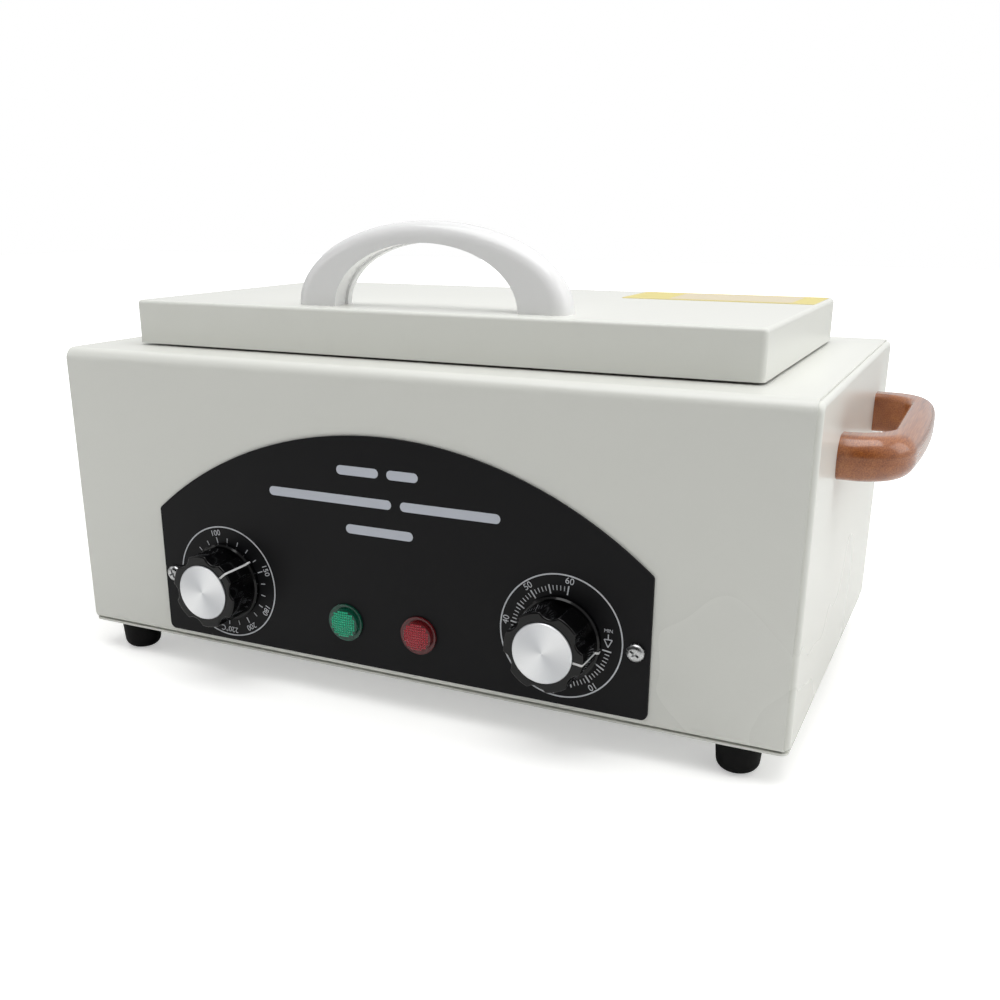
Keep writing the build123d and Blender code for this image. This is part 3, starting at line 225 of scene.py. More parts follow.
# moulded plastics: a skin from a polished mould with very slight waves
def mouldedPlastic(name, colour, roughness, wave, depth, shine=0.5):
    spread = 0.03
    material, tree, shader, where = newMaterial(name, colour, roughness)
    shader.inputs["Specular IOR Level"].default_value = shine
    waves = addNode(tree, "ShaderNodeTexNoise", None, {
        "Vector": where, "Scale": 1000 / wave, "Detail": 2.0})
    bump = addNode(tree, "ShaderNodeBump", None, {
        "Height": waves.outputs[0], "Distance": depth * mm, "Strength": 1.0})
    sheen = addNode(tree, "ShaderNodeMapRange", None, {
        "Value": waves.outputs[0], "To Min": roughness - spread, "To Max": roughness + spread})
    tree.links.new(sheen.outputs[0], shader.inputs["Roughness"])
    tree.links.new(bump.outputs[0], shader.inputs["Normal"])
    return material


# turned aluminium: rings left by the tool, drawn 0.45 mm apart so that they show, and a painted reflection:
# the base colour goes from grey to pale in sectors and fine lines round the axis, for the wedge shapes such
# a face throws back
cap = {
    "pale": "#F4F5F7", "grey": "#CFD1D5", "roughness": 0.30, "streak": 0.75, "rings": 0.45,
    "depth": 0.004, "waver": 0.6, "reflectionWedges": 2, "turn": 40, "reflectionStreaks": 9.0, "allGrey": -0.7, "allPale": 1.7,
}


def turnedAluminium(name, node):
    material, tree, shader, where = newMaterial(name, cap["pale"], cap["roughness"], 1.0)
    centre = middle(node)
    local = addNode(tree, "ShaderNodeMapping", None, {"Vector": where, "Location": -centre})
    parts = addNode(tree, "ShaderNodeSeparateXYZ", None, {0: local.outputs[0]}).outputs
    # painted reflection: from here the base colour is mixed between grey and pale by the angle round the
    # axis
    angle = addNode(tree, "ShaderNodeMath", {"operation": "ARCTAN2"}, {
        0: parts["Z"], 1: parts["X"]}).outputs[0]
    turned = addNode(tree, "ShaderNodeMath", {"operation": "MULTIPLY_ADD"}, {
        0: angle, 1: cap["reflectionWedges"], 2: -cap["reflectionWedges"] * radians(cap["turn"])}).outputs[0]
    wave = addNode(tree, "ShaderNodeMath", {"operation": "COSINE"}, {0: turned}).outputs[0]
    around = addNode(tree, "ShaderNodeMath", {"operation": "MULTIPLY"}, {
        0: angle, 1: cap["reflectionStreaks"]}).outputs[0]
    reflectionStreaks = addNode(tree, "ShaderNodeTexNoise", {"noise_dimensions": "1D"}, {"W": around, "Detail": 2.0})
    blend = addNode(tree, "ShaderNodeMath", {"operation": "ADD"}, {
        0: wave, 1: reflectionStreaks.outputs[0]}).outputs[0]
    share = addNode(tree, "ShaderNodeMapRange", None, {
        "Value": blend, "From Min": cap["allGrey"], "From Max": cap["allPale"]}).outputs[0]
    tone = addNode(tree, "ShaderNodeMix", {"data_type": "RGBA"}, {
        0: share, 6: linearColour(cap["grey"]), 7: linearColour(cap["pale"])})
    tree.links.new(tone.outputs[2], shader.inputs["Base Color"])
    turnPerUnit = 20  # radians that a wave node turns in one unit of its scale
    rings = addNode(tree, "ShaderNodeTexWave", {
        "wave_type": "RINGS", "rings_direction": "Y", "wave_profile": "SIN"}, {
        "Vector": local.outputs[0], "Scale": 2 * pi / (turnPerUnit * cap["rings"] * mm),
        "Distortion": cap["waver"], "Detail": 2.0, "Detail Scale": 3.0})
    bump = addNode(tree, "ShaderNodeBump", None, {
        "Height": rings.outputs["Fac"], "Distance": cap["depth"] * mm, "Strength": 1.0})
    along = addNode(tree, "ShaderNodeTangent", {"direction_type": "RADIAL", "axis": "Y"})
    shader.inputs["Anisotropic"].default_value = cap["streak"]
    tree.links.new(along.outputs[0], shader.inputs["Tangent"])
    tree.links.new(bump.outputs[0], shader.inputs["Normal"])
    return material


# plated and bare metals: a bright face with small dull flecks
flecks = {"brighter": 0.06, "duller": 0.10}


def fleckedMetal(name, colour, roughness, size=1.5):
    material, tree, shader, where = newMaterial(name, colour, roughness, 1.0)
    cells = addNode(tree, "ShaderNodeTexVoronoi", None, {"Vector": where, "Scale": 1000 / size})
    sheen = addNode(tree, "ShaderNodeMapRange", None, {
        "Value": cells.outputs["Distance"], "To Min": roughness - flecks["brighter"],
        "To Max": roughness + flecks["duller"]})
    tree.links.new(sheen.outputs[0], shader.inputs["Roughness"])
    return material


# brushed stainless: fine scratches along X, drawn 0.3 mm wide so that they show
brushed = {
    "colour": "#C4C5C6", "roughness": 0.30, "spread": 0.08, "width": 0.3, "length": 40.0, "depth": 0.004,
}


def brushedStainless():
    material, tree, shader, where = newMaterial(
        "brushedStainless", brushed["colour"], brushed["roughness"], 1.0)
    along, across = 1000 / brushed["length"], 1000 / brushed["width"]
    stretched = addNode(tree, "ShaderNodeMapping", None, {
        "Vector": where, "Scale": (along, across, across)})
    lines = addNode(tree, "ShaderNodeTexNoise", None, {
        "Vector": stretched.outputs[0], "Scale": 1.0, "Detail": 3.0})
    bump = addNode(tree, "ShaderNodeBump", None, {
        "Height": lines.outputs[0], "Distance": brushed["depth"] * mm, "Strength": 1.0})
    sheen = addNode(tree, "ShaderNodeMapRange", None, {
        "Value": lines.outputs[0], "To Min": brushed["roughness"] - brushed["spread"],
        "To Max": brushed["roughness"] + brushed["spread"]})
    tree.links.new(sheen.outputs[0], shader.inputs["Roughness"])
    tree.links.new(bump.outputs[0], shader.inputs["Normal"])
    return material


# varnished beech: warm stain, fine pores along the grain, clear glossy coat
wood = {
    "dark": "#7A3C14", "mid": "#99541F", "light": "#B06A34", "stops": (0.50, 0.70, 0.92),
    "roughness": 0.42, "varnish": 0.12, "grain": 0.5, "length": 22.0, "pores": 0.02,
    "figure": 6.0, "figureLength": 125, "figureShare": 0.45, "waver": 0.6,
}


def varnishedBeech():
    material, tree, shader, where = newMaterial("varnishedBeech", wood["mid"], wood["roughness"])
    along = addNode(tree, "ShaderNodeMapping", None, {
        "Vector": where, "Scale": (1000 / wood["grain"], 1000 / wood["length"], 1000 / wood["grain"])})
    fibres = addNode(tree, "ShaderNodeTexNoise", None, {
        "Vector": along.outputs[0], "Scale": 1.0, "Detail": 4.0})
    broad = addNode(tree, "ShaderNodeMapping", None, {
        "Vector": where,
        "Scale": (1000 / wood["figure"], 1000 / wood["figureLength"], 1000 / wood["figure"])})
    figure = addNode(tree, "ShaderNodeTexNoise", None, {
        "Vector": broad.outputs[0], "Scale": 1.0, "Detail": 2.0, "Distortion": wood["waver"]})
    blend = addNode(tree, "ShaderNodeMath", {"operation": "MULTIPLY_ADD"}, {
        0: figure.outputs[0], 1: wood["figureShare"], 2: fibres.outputs[0]})
    ramp = addNode(tree, "ShaderNodeValToRGB", None, {"Fac": blend.outputs[0]})
    stops = ramp.color_ramp.elements
    stops[0].position, between, stops[1].position = wood["stops"]
    stops[0].color = linearColour(wood["dark"])
    stops[1].color = linearColour(wood["light"])
    stops.new(between).color = linearColour(wood["mid"])
    bump = addNode(tree, "ShaderNodeBump", None, {
        "Height": fibres.outputs[0], "Distance": wood["pores"] * mm, "Strength": 1.0})
    shader.inputs["Coat Weight"].default_value = 1.0
    shader.inputs["Coat Roughness"].default_value = wood["varnish"]
    tree.links.new(ramp.outputs[0], shader.inputs["Base Color"])
    tree.links.new(bump.outputs[0], shader.inputs["Normal"])
    return material


# rough, soft and printed faces: two close tones in a fine grain
def grainyMaterial(name, colour, second, roughness, size, depth, shine=0.5):
    material, tree, shader, where = newMaterial(name, colour, roughness)
    shader.inputs["Specular IOR Level"].default_value = shine
    grain = addNode(tree, "ShaderNodeTexNoise", None, {
        "Vector": where, "Scale": 1000 / size, "Detail": 5.0})
    mix = addNode(tree, "ShaderNodeMix", {"data_type": "RGBA"}, {
        0: grain.outputs[0], 6: linearColour(colour), 7: linearColour(second)})
    bump = addNode(tree, "ShaderNodeBump", None, {
        "Height": grain.outputs[0], "Distance": depth * mm, "Strength": 1.0})
    tree.links.new(mix.outputs[2], shader.inputs["Base Color"])
    tree.links.new(bump.outputs[0], shader.inputs["Normal"])
    return material


# lens: dyed polycarbonate, a dark body under facets in a brighter copy of its colour, which is painted
# highlight;
# clear enough to glow a little from inside
lens = {"roughness": 0.18, "wave": 2.0, "depth": 0.01, "glow": 0.25, "reach": 2.0, "ior": 1.58}


def dyedLens(name, colour):
    material = mouldedPlastic(name, colour, lens["roughness"], lens["wave"], lens["depth"])
    shader = material.node_tree.nodes["Principled BSDF"]
    shader.inputs["Subsurface Weight"].default_value = lens["glow"]
    shader.inputs["Subsurface Radius"].default_value = (lens["reach"] * mm,) * 3
    shader.inputs["Subsurface Scale"].default_value = 1.0
    shader.inputs["IOR"].default_value = lens["ior"]
    return material


coat = powderCoat()
enamel = satinEnamel()
stainless = brushedStainless()
beech = varnishedBeech()
# pressed phenolic and urea shine, black and white; nylon is duller, with the grain of its mould
knobBlack = mouldedPlastic("phenolicBlack", "#070708", 0.12, 5.0, 0.02, shine=0.35)
ureaWhite = mouldedPlastic("ureaWhite", "#F1F1F1", 0.16, 6.0, 0.02)
mouldBlack = mouldedPlastic("nylonBlack", "#1A1A1A", 0.45, 0.8, 0.02)
blockWhite = mouldedPlastic("nylonWhite", "#E2E1DA", 0.40, 0.8, 0.02)
# plated zinc is bright and cool, dipped steel greyer, heated steel dark with scale, drawn copper warm
zinc = fleckedMetal("brightZinc", "#C2C3C4", 0.24)
galvanised = fleckedMetal("galvanisedSteel", "#A9ACAE", 0.38, size=6.0)
heaterSteel = fleckedMetal("scaledSteel", "#5A5550", 0.45, size=2.0)
copper = fleckedMetal("drawnCopper", "#B87452", 0.30)
# moulded rubber and silicone are soft and dull, pressed wool and woven glass matt and uneven
rubber = grainyMaterial("mouldedRubber", "#0A0A0A", "#101010", 0.60, 0.7, 0.03, shine=0.15)
wool = grainyMaterial("mineralWool", "#B9AE86", "#8E855F", 0.95, 1.2, 0.6)
silicone = grainyMaterial("siliconeRed", "#8A3A2C", "#7A3024", 0.50, 1.0, 0.03)
sleeve = grainyMaterial("glassSleeve", "#D8D5CC", "#BDB9AE", 0.60, 0.6, 0.05)
lensGreen = dyedLens("polycarbonateGreen", "#0A4A38")
lensRed = dyedLens("polycarbonateRed", "#5E1418")
# the facets' brighter green and red are painted highlight on the same dyed lens
facetHighlightGreen = dyedLens("paintedHighlightFacetsGreen", "#22B98C")
facetHighlightRed = dyedLens("paintedHighlightFacetsRed", "#B83440")
# sticker and inks: flat and even, hardly shining
labelYellow = grainyMaterial("labelYellow", "#E3D587", "#DFD07D", 0.45, 2.0, 0.01)
labelCream = grainyMaterial("labelCream", "#DFD3B8", "#DBCEB0", 0.45, 2.0, 0.01)
inkPale = grainyMaterial("printPale", "#CDD2DC", "#C7CCD6", 0.50, 0.5, 0.004)
inkDial = grainyMaterial("printDial", "#D2D5D9", "#CBCED3", 0.50, 0.5, 0.004)
pointerWhite = grainyMaterial("pointerWhite", "#E6E6E6", "#DEDEDE", 0.35, 1.0, 0.01)

dress(coat, "housing", "side_panel_left", "side_panel_right", "base_plate", "lid_shell")
dress(enamel, "control_panel")
dress(knobBlack, "temperature_knob", "timer_knob")
dress(turnedAluminium("turnedCapTemperature", "temperature_knob_cap"), "temperature_knob_cap")
dress(turnedAluminium("turnedCapTimer", "timer_knob_cap"), "timer_knob_cap")
dress(ureaWhite, "lid_handle")
dress(beech, "side_handle_left", "side_handle_right")
dress(rubber, "foot_front_left", "foot_front_right", "foot_back_left", "foot_back_right")
dress(lensGreen, "green_lamp_lens")
dress(lensRed, "red_lamp_lens")
dress(mouldBlack, "green_lamp_holder", "red_lamp_holder", "power_inlet", "timer_body")
dress(zinc, "base_screws", "foot_screws", "lid_handle_screws", "hinge_screws", "lid_hinge_screws",
      "side_handle_screws", "inlet_screws", "panel_nuts", "control_nuts", "lamp_clips", "panel_screws")
dress(stainless, "inner_tank", "instrument_tray", "tray_loop_left", "tray_loop_right", "lid_liner",
      "hinge_fixed_leaf_left", "hinge_fixed_leaf_right", "hinge_lid_leaf_left", "hinge_lid_leaf_right",
      "hinge_pin_left", "hinge_pin_right")
dress(galvanised, "heat_shield", "heater_brackets", "thermostat_body", "thermostat_shaft", "timer_shaft",
      "inlet_pins")
dress(heaterSteel, "heating_element")
dress(copper, "sensor_capillary", "earth_post")
dress(wool, "insulation_blanket", "lid_insulation")
dress(silicone, "lid_seal")
dress(blockWhite, "terminal_block")
dress(sleeve, "wiring_loom")
dress(labelYellow, "lid_label")
print("materials made")


# node trees that draw what repeats
def newTree(name, sockets):
    tree = bpy.data.node_groups.new(name, "GeometryNodeTree")
    for label, kind in sockets.items():
        tree.interface.new_socket(name=label, in_out="INPUT", socket_type="NodeSocket" + kind)
    tree.interface.new_socket(name="Geometry", in_out="OUTPUT", socket_type="NodeSocketGeometry")
    return tree, tree.nodes.new("NodeGroupInput").outputs, tree.nodes.new("NodeGroupOutput")


def treeMesh(tree, name, values, start=None):
    base = linkObject(name + "Start", start or bpy.data.meshes.new(name + "Start"))
    step = base.modifiers.new("shape", "NODES")
    step.node_group = tree
    for item in tree.interface.items_tree:
        if item.in_out == "INPUT" and item.name in values:
            step[item.identifier] = values[item.name]
    mesh = evaluatedMesh(base)
    base.modifiers.remove(step)
    bpy.data.objects.remove(base)
    mesh.name = name
    return mesh


# plates of print: an outline in the panel's plane, a few hundredths of a millimetre thick
ink = {"thickness": 0.05, "sink": 0.01, "cornerSteps": 6, "ringSteps": 128, "capitalHeight": 0.69}


def plateMesh(name, outline, place):
    work = bmesh.new()
    face = work.faces.new([work.verts.new((x * mm, y * mm, -ink["sink"] * mm)) for x, y in outline])
    top = bmesh.ops.extrude_face_region(work, geom=[face])["geom"]
    lift = Vector((0, 0, (ink["thickness"] + ink["sink"]) * mm))
    raised = [part for part in top if isinstance(part, bmesh.types.BMVert)]
    bmesh.ops.translate(work, vec=lift, verts=raised)
    bmesh.ops.recalc_face_normals(work, faces=work.faces)
    bmesh.ops.transform(work, matrix=place, verts=work.verts)
    return closeMesh(work, name)


def roundedOutline(width, height, radius):
    points = []
    for corner, (sideX, sideY) in enumerate(((1, 1), (-1, 1), (-1, -1), (1, -1))):
        for i in range(ink["cornerSteps"] + 1):
            angle = (corner + i / ink["cornerSteps"]) * pi / 2
            points.append((sideX * (width / 2 - radius) + radius * cos(angle),
                           sideY * (height / 2 - radius) + radius * sin(angle)))
    return points


def strokeOutline(start, end, width):
    start, end = Vector(start), Vector(end)
    side = (end - start).normalized().orthogonal() * width / 2
    return [tuple(start + side), tuple(start - side), tuple(end - side), tuple(end + side)]


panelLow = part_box("control_panel")[0]
panelFront = panelLow.y


def onPanel(x, z, turn=0.0):
    place = Matrix.Translation((x, panelFront, z))
    return place @ Matrix.Rotation(pi / 2, 4, "X") @ Matrix.Rotation(radians(turn), 4, "Z")


# three rows of plain bars where the panel carries print, in mm from the dials' middle and the panel's foot;
# their ends are round but for a hair, so that no two corners of an outline meet
panelBars = {
    "thick": 4.2, "hair": 0.01,
    "rows": [
        {"height": 91.6, "bars": [(-21.2, 0.0), (4.2, 19.6)]},
        {"height": 78.2, "bars": [(-57.8, 6.2), (10.6, 58.3)]},
        {"height": 65.1, "bars": [(-17.3, 16.7)]},
    ],
}


def addPanelBars():
    meshes = []
    thick = panelBars["thick"]
    dialsMiddle = (middle("temperature_knob_cap").x + middle("timer_knob_cap").x) / 2
    for row in panelBars["rows"]:
        for left, right in row["bars"]:
            outline = roundedOutline(right - left, thick, thick / 2 - panelBars["hair"])
            x = dialsMiddle + (left + right) / 2 * mm
            meshes.append(plateMesh("bar", outline, onPanel(x, panelLow.z + row["height"] * mm)))
    addPiece("panel_bars", joined("panel_bars", meshes), "housing_body", inkPale)


addPanelBars()


# dial scales: ring, ticks and numbers round each knob, a little off its middle as in the photograph;
# angles from 3 o'clock, upwards positive
dials = {
    "temperature": {
        "node": "temperature_knob_cap", "shift": (0.0, -0.5), "ring": 27.3, "line": 0.62,
        "count": 19, "first": 183.95, "step": -16.25, "every": 5,
        "inner": 19.7, "outer": 22.0, "innerLong": 19.4, "outerLong": 22.3,
        "width": 0.42, "widthLong": 0.5, "size": 2.7, "labelRadius": 24.3,
        "numbers": {"100": 102.7, "150": 21.45, "180": -27.3, "200": -59.8, "220°C": -92.3},
    },
    "timer": {
        "node": "timer_knob_cap", "shift": (0.5, 0.8), "ring": 27.3, "line": 0.62,
        "count": 61, "first": -8.3, "step": -4.5, "every": 5,
        "inner": 20.3, "outer": 22.4, "innerLong": 18.9, "outerLong": 22.9,
        "width": 0.36, "widthLong": 0.62, "size": 2.8, "labelRadius": 25.0,
        "numbers": {"10": -53.3, "20": -98.3, "30": -143.3, "40": 171.7, "50": 126.7, "60": 81.7},
    },
}


def tickTree():
    tree, given, end = newTree("dialTicks", {
        "Count": "Int", "First": "Float", "Step": "Float", "Every": "Int", "Inner": "Float",
        "Outer": "Float", "Inner Long": "Float", "Outer Long": "Float", "Width": "Float",
        "Width Long": "Float", "Thickness": "Float", "Centre": "Vector", "Finish": "Material"})
    index = addNode(tree, "GeometryNodeInputIndex").outputs[0]
    angle = addNode(tree, "ShaderNodeMath", {"operation": "MULTIPLY_ADD"}, {
        0: index, 1: given["Step"], 2: given["First"]}).outputs[0]
    remainder = addNode(tree, "ShaderNodeMath", {"operation": "MODULO"}, {
        0: index, 1: given["Every"]}).outputs[0]
    isShort = addNode(tree, "ShaderNodeMath", {"operation": "GREATER_THAN"}, {
        0: remainder, 1: 0.5}).outputs[0]
    inner = addNode(tree, "ShaderNodeMix", None, {
        0: isShort, 2: given["Inner Long"], 3: given["Inner"]}).outputs[0]
    outer = addNode(tree, "ShaderNodeMix", None, {
        0: isShort, 2: given["Outer Long"], 3: given["Outer"]}).outputs[0]
    width = addNode(tree, "ShaderNodeMix", None, {
        0: isShort, 2: given["Width Long"], 3: given["Width"]}).outputs[0]
    total = addNode(tree, "ShaderNodeMath", {"operation": "ADD"}, {0: inner, 1: outer}).outputs[0]
    reach = addNode(tree, "ShaderNodeMath", {"operation": "MULTIPLY"}, {0: total, 1: 0.5}).outputs[0]
    length = addNode(tree, "ShaderNodeMath", {"operation": "SUBTRACT"}, {0: outer, 1: inner}).outputs[0]
    across = addNode(tree, "ShaderNodeMath", {"operation": "COSINE"}, {0: angle}).outputs[0]
    upward = addNode(tree, "ShaderNodeMath", {"operation": "SINE"}, {0: angle}).outputs[0]
    radial = addNode(tree, "ShaderNodeCombineXYZ", None, {"X": across, "Z": upward}).outputs[0]
    spot = addNode(tree, "ShaderNodeVectorMath", {"operation": "SCALE"}, {
        0: radial, "Scale": reach}).outputs[0]
    place = addNode(tree, "ShaderNodeVectorMath", {"operation": "ADD"}, {
        0: spot, 1: given["Centre"]}).outputs[0]
    points = addNode(tree, "GeometryNodePoints", None, {
        "Count": given["Count"], "Position": place}).outputs[0]
    back = addNode(tree, "ShaderNodeMath", {"operation": "MULTIPLY"}, {0: angle, 1: -1.0}).outputs[0]
    turned = addNode(tree, "ShaderNodeCombineXYZ", None, {"Y": back}).outputs[0]
    size = addNode(tree, "ShaderNodeCombineXYZ", None, {
        "X": length, "Y": given["Thickness"], "Z": width}).outputs[0]
    mark = addNode(tree, "GeometryNodeMeshCube", None, {"Size": (1, 1, 1)}).outputs[0]
    marks = addNode(tree, "GeometryNodeInstanceOnPoints", None, {
        "Points": points, "Instance": mark, "Rotation": turned, "Scale": size}).outputs[0]
    real = addNode(tree, "GeometryNodeRealizeInstances", None, {"Geometry": marks}).outputs[0]
    done = addNode(tree, "GeometryNodeSetMaterial", None, {"Geometry": real, "Material": given["Finish"]})
    tree.links.new(done.outputs[0], end.inputs[0])
    return tree


def ringMesh(name, centre, radius, width):
    inner, outer = radius - width / 2, radius + width / 2
    steps = ink["ringSteps"]
    corners = ((inner, ink["sink"]), (outer, ink["sink"]),
               (outer, -ink["thickness"]), (inner, -ink["thickness"]))
    work = bmesh.new()
    loops = [[work.verts.new((centre.x + reach * mm * cos(2 * pi * i / steps), panelFront + depth * mm,
                              centre.z + reach * mm * sin(2 * pi * i / steps))) for i in range(steps)]
             for reach, depth in corners]
    for first, second in zip(loops, loops[1:] + loops[:1]):
        bridge(work, first, second)
    bmesh.ops.recalc_face_normals(work, faces=work.faces)
    return closeMesh(work, name)


def textMesh(words, size, place):
    curve = bpy.data.curves.new("number", "FONT")
    curve.body = words
    curve.size = size * mm / ink["capitalHeight"]
    curve.align_x = "CENTER"
    curve.align_y = "CENTER"
    curve.extrude = ink["thickness"] * mm
    holder = linkObject("number", curve)
    mesh = evaluatedMesh(holder)
    bpy.data.objects.remove(holder)
    mesh.transform(place)
    return mesh


def dialCentre(dial):
    across, upward = dial["shift"]
    return middle(dial["node"]) + Vector((across * mm, 0, upward * mm))


def addDial(name, dial, tree):
    centre = dialCentre(dial)
    ticks = treeMesh(tree, name + "_ticks", {
        "Count": dial["count"], "First": radians(dial["first"]), "Step": radians(dial["step"]),
        "Every": dial["every"], "Inner": dial["inner"] * mm, "Outer": dial["outer"] * mm,
        "Inner Long": dial["innerLong"] * mm, "Outer Long": dial["outerLong"] * mm,
        "Width": dial["width"] * mm, "Width Long": dial["widthLong"] * mm,
        "Thickness": 2 * ink["thickness"] * mm, "Centre": (centre.x, panelFront, centre.z),
        "Finish": inkDial})
    addPiece(name + "_ticks", ticks, "housing_body")
    addPiece(name + "_ring", ringMesh(name + "_ring", centre, dial["ring"], dial["line"]),
             "housing_body", inkDial)
    numbers = []
    for words, angle in dial["numbers"].items():
        spot = radians(angle)
        x = centre.x + dial["labelRadius"] * mm * cos(spot)
        z = centre.z + dial["labelRadius"] * mm * sin(spot)
        numbers.append(textMesh(words, dial["size"], onPanel(x, z, angle - 90)))
    addPiece(name + "_numbers", joined(name + "_numbers", numbers),
             "housing_body", inkDial)


ticksOfDials = tickTree()
for dialName, dialSizes in dials.items():
    addDial(dialName, dialSizes, ticksOfDials)


# the timer's start mark: an outlined arrow over the zero, with its unit
startMark = {
    "x": 21.1, "tip": -1.3, "base": 2.1, "half": 1.75, "stem": 4.4, "line": 0.42, "unit": 5.9, "size": 1.5,
}


def addStartMark():
    centre = dialCentre(dials["timer"])
    x, base, line = startMark["x"], startMark["base"], startMark["line"]
    corners = [(x - startMark["half"], base), (x + startMark["half"], base), (x, startMark["tip"])]
    strokes = [strokeOutline(corners[i], corners[(i + 1) % 3], line) for i in range(3)]
    strokes.append(strokeOutline((x, base), (x, startMark["stem"]), line))
    place = onPanel(centre.x, centre.z)
    meshes = [plateMesh("stroke", outline, place) for outline in strokes]
    unitPlace = onPanel(centre.x + x * mm, centre.z + startMark["unit"] * mm)
    meshes.append(textMesh("MIN", startMark["size"], unitPlace))
    addPiece("timer_start_mark", joined("timer_start_mark", meshes),
             "housing_body", inkDial)


addStartMark()
print("panel print made")


# white line on each knob: from beside the cap over the rim, down a lobe and over the skirt
pointer = {
    "width": 0.95, "lift": 0.05, "start": 13.3, "front": 18.6, "rim": 17.5, "edge": 0.8, "edgeSteps": 6,
    "shelf": 3.2, "skirt": 18.8, "skirtEdge": 0.7, "foot": 1.0, "temperatureTurn": 38.7, "timerTurn": -8.3,
}


def pointerPath():
    front, rim, edge, steps = pointer["front"], pointer["rim"], pointer["edge"], pointer["edgeSteps"]
    shelf, skirt, skirtEdge = pointer["shelf"], pointer["skirt"], pointer["skirtEdge"]
    path = [(pointer["start"], front)]
    for i in range(steps + 1):
        angle = radians(90 - 90 / steps * i)
        path.append((rim - edge + edge * cos(angle), front - edge + edge * sin(angle)))
    path += [(rim, shelf), (skirt - skirtEdge, shelf), (skirt, shelf - skirtEdge), (skirt, pointer["foot"])]
    return path


def addPointer(name, node, body, turn):
    centre = middle(node)
    half, lift = pointer["width"] / 2, pointer["lift"]
    work = bmesh.new()
    levels = []
    for reach, depth in pointerPath():
        corners = ((lift, -half), (lift, half), (-lift, half), (-lift, -half))
        levels.append([work.verts.new(((reach + rise) * mm, side * mm, (depth + rise) * mm))
                       for rise, side in corners])
    for first, second in zip(levels, levels[1:]):
        bridge(work, first, second)
    work.faces.new(levels[0])
    work.faces.new(levels[-1])
    bmesh.ops.recalc_face_normals(work, faces=work.faces)
    mesh = closeMesh(work, name)
    mesh.transform(onPanel(centre.x, centre.z, turn))
    addPiece(name, smooth(mesh, 50), body, pointerWhite)


addPointer("temperature_pointer", "temperature_knob_cap", "temperature_dial", pointer["temperatureTurn"])
addPointer("timer_pointer", "timer_knob_cap", "timer_dial", pointer["timerTurn"])
print("pointers made")


# lamp lenses: rows of small pyramids on the domed front
waffle = {"pitch": 1.1, "stud": 0.66, "reach": 6.4, "depth": 0.34, "crown": 0.9, "radius": 7.1}


def waffleTree():
    tree, given, end = newTree("lensWaffle", {
        "Rows": "Int", "Pitch": "Float", "Reach": "Float", "Depth": "Float", "Crown": "Float",
        "Radius": "Float", "Apex": "Vector", "Finish": "Material"})
    less = addNode(tree, "ShaderNodeMath", {"operation": "SUBTRACT"}, {
        0: given["Rows"], 1: 1.0}).outputs[0]
    span = addNode(tree, "ShaderNodeMath", {"operation": "MULTIPLY"}, {
        0: less, 1: given["Pitch"]}).outputs[0]
    grid = addNode(tree, "GeometryNodeMeshGrid", None, {
        "Size X": span, "Size Y": span,
        "Vertices X": given["Rows"], "Vertices Y": given["Rows"]}).outputs[0]
    here = addNode(tree, "GeometryNodeInputPosition").outputs[0]
    away = addNode(tree, "ShaderNodeVectorMath", {"operation": "LENGTH"}, {0: here}).outputs["Value"]
    outside = addNode(tree, "ShaderNodeMath", {"operation": "GREATER_THAN"}, {
        0: away, 1: given["Reach"]}).outputs[0]
    disc = addNode(tree, "GeometryNodeDeleteGeometry", None, {
        "Geometry": grid, "Selection": outside}).outputs[0]
    share = addNode(tree, "ShaderNodeMath", {"operation": "DIVIDE"}, {
        0: away, 1: given["Radius"]}).outputs[0]
    square = addNode(tree, "ShaderNodeMath", {"operation": "POWER"}, {0: share, 1: 2.0}).outputs[0]
    fall = addNode(tree, "ShaderNodeMath", {"operation": "MULTIPLY"}, {
        0: square, 1: given["Crown"]}).outputs[0]
    parts = addNode(tree, "ShaderNodeSeparateXYZ", None, {0: here}).outputs
    local = addNode(tree, "ShaderNodeCombineXYZ", None, {
        "X": parts["X"], "Y": fall, "Z": parts["Y"]}).outputs[0]
    place = addNode(tree, "ShaderNodeVectorMath", {"operation": "ADD"}, {
        0: local, 1: given["Apex"]}).outputs[0]
    moved = addNode(tree, "GeometryNodeSetPosition", None, {
        "Geometry": disc, "Position": place}).outputs[0]
    half = addNode(tree, "ShaderNodeMath", {"operation": "MULTIPLY"}, {
        0: given["Pitch"], 1: waffle["stud"]}).outputs[0]
    stud = addNode(tree, "GeometryNodeMeshCone", {"fill_type": "NONE"}, {
        "Vertices": 4, "Radius Top": 0.0, "Radius Bottom": half, "Depth": given["Depth"]}).outputs["Mesh"]
    studs = addNode(tree, "GeometryNodeInstanceOnPoints", None, {
        "Points": moved, "Instance": stud, "Rotation": (pi / 2, pi / 4, 0)}).outputs[0]
    real = addNode(tree, "GeometryNodeRealizeInstances", None, {"Geometry": studs}).outputs[0]
    done = addNode(tree, "GeometryNodeSetMaterial", None, {"Geometry": real, "Material": given["Finish"]})
    tree.links.new(done.outputs[0], end.inputs[0])
    return tree


def addWaffle(name, node, material, tree):
    centre = middle(node)
    mesh = treeMesh(tree, name, {
        "Rows": 2 * floor(waffle["reach"] / waffle["pitch"]) + 1, "Pitch": waffle["pitch"] * mm,
        "Reach": waffle["reach"] * mm, "Depth": waffle["depth"] * mm, "Crown": waffle["crown"] * mm,
        "Radius": waffle["radius"] * mm, "Apex": (centre.x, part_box(node)[0].y, centre.z),
        "Finish": material})
    addPiece(name, mesh, "housing_body")


waffleOfLenses = waffleTree()
addWaffle("green_lens_waffle", "green_lamp_lens", facetHighlightGreen, waffleOfLenses)
addWaffle("red_lens_waffle", "red_lamp_lens", facetHighlightRed, waffleOfLenses)
print("lenses made")


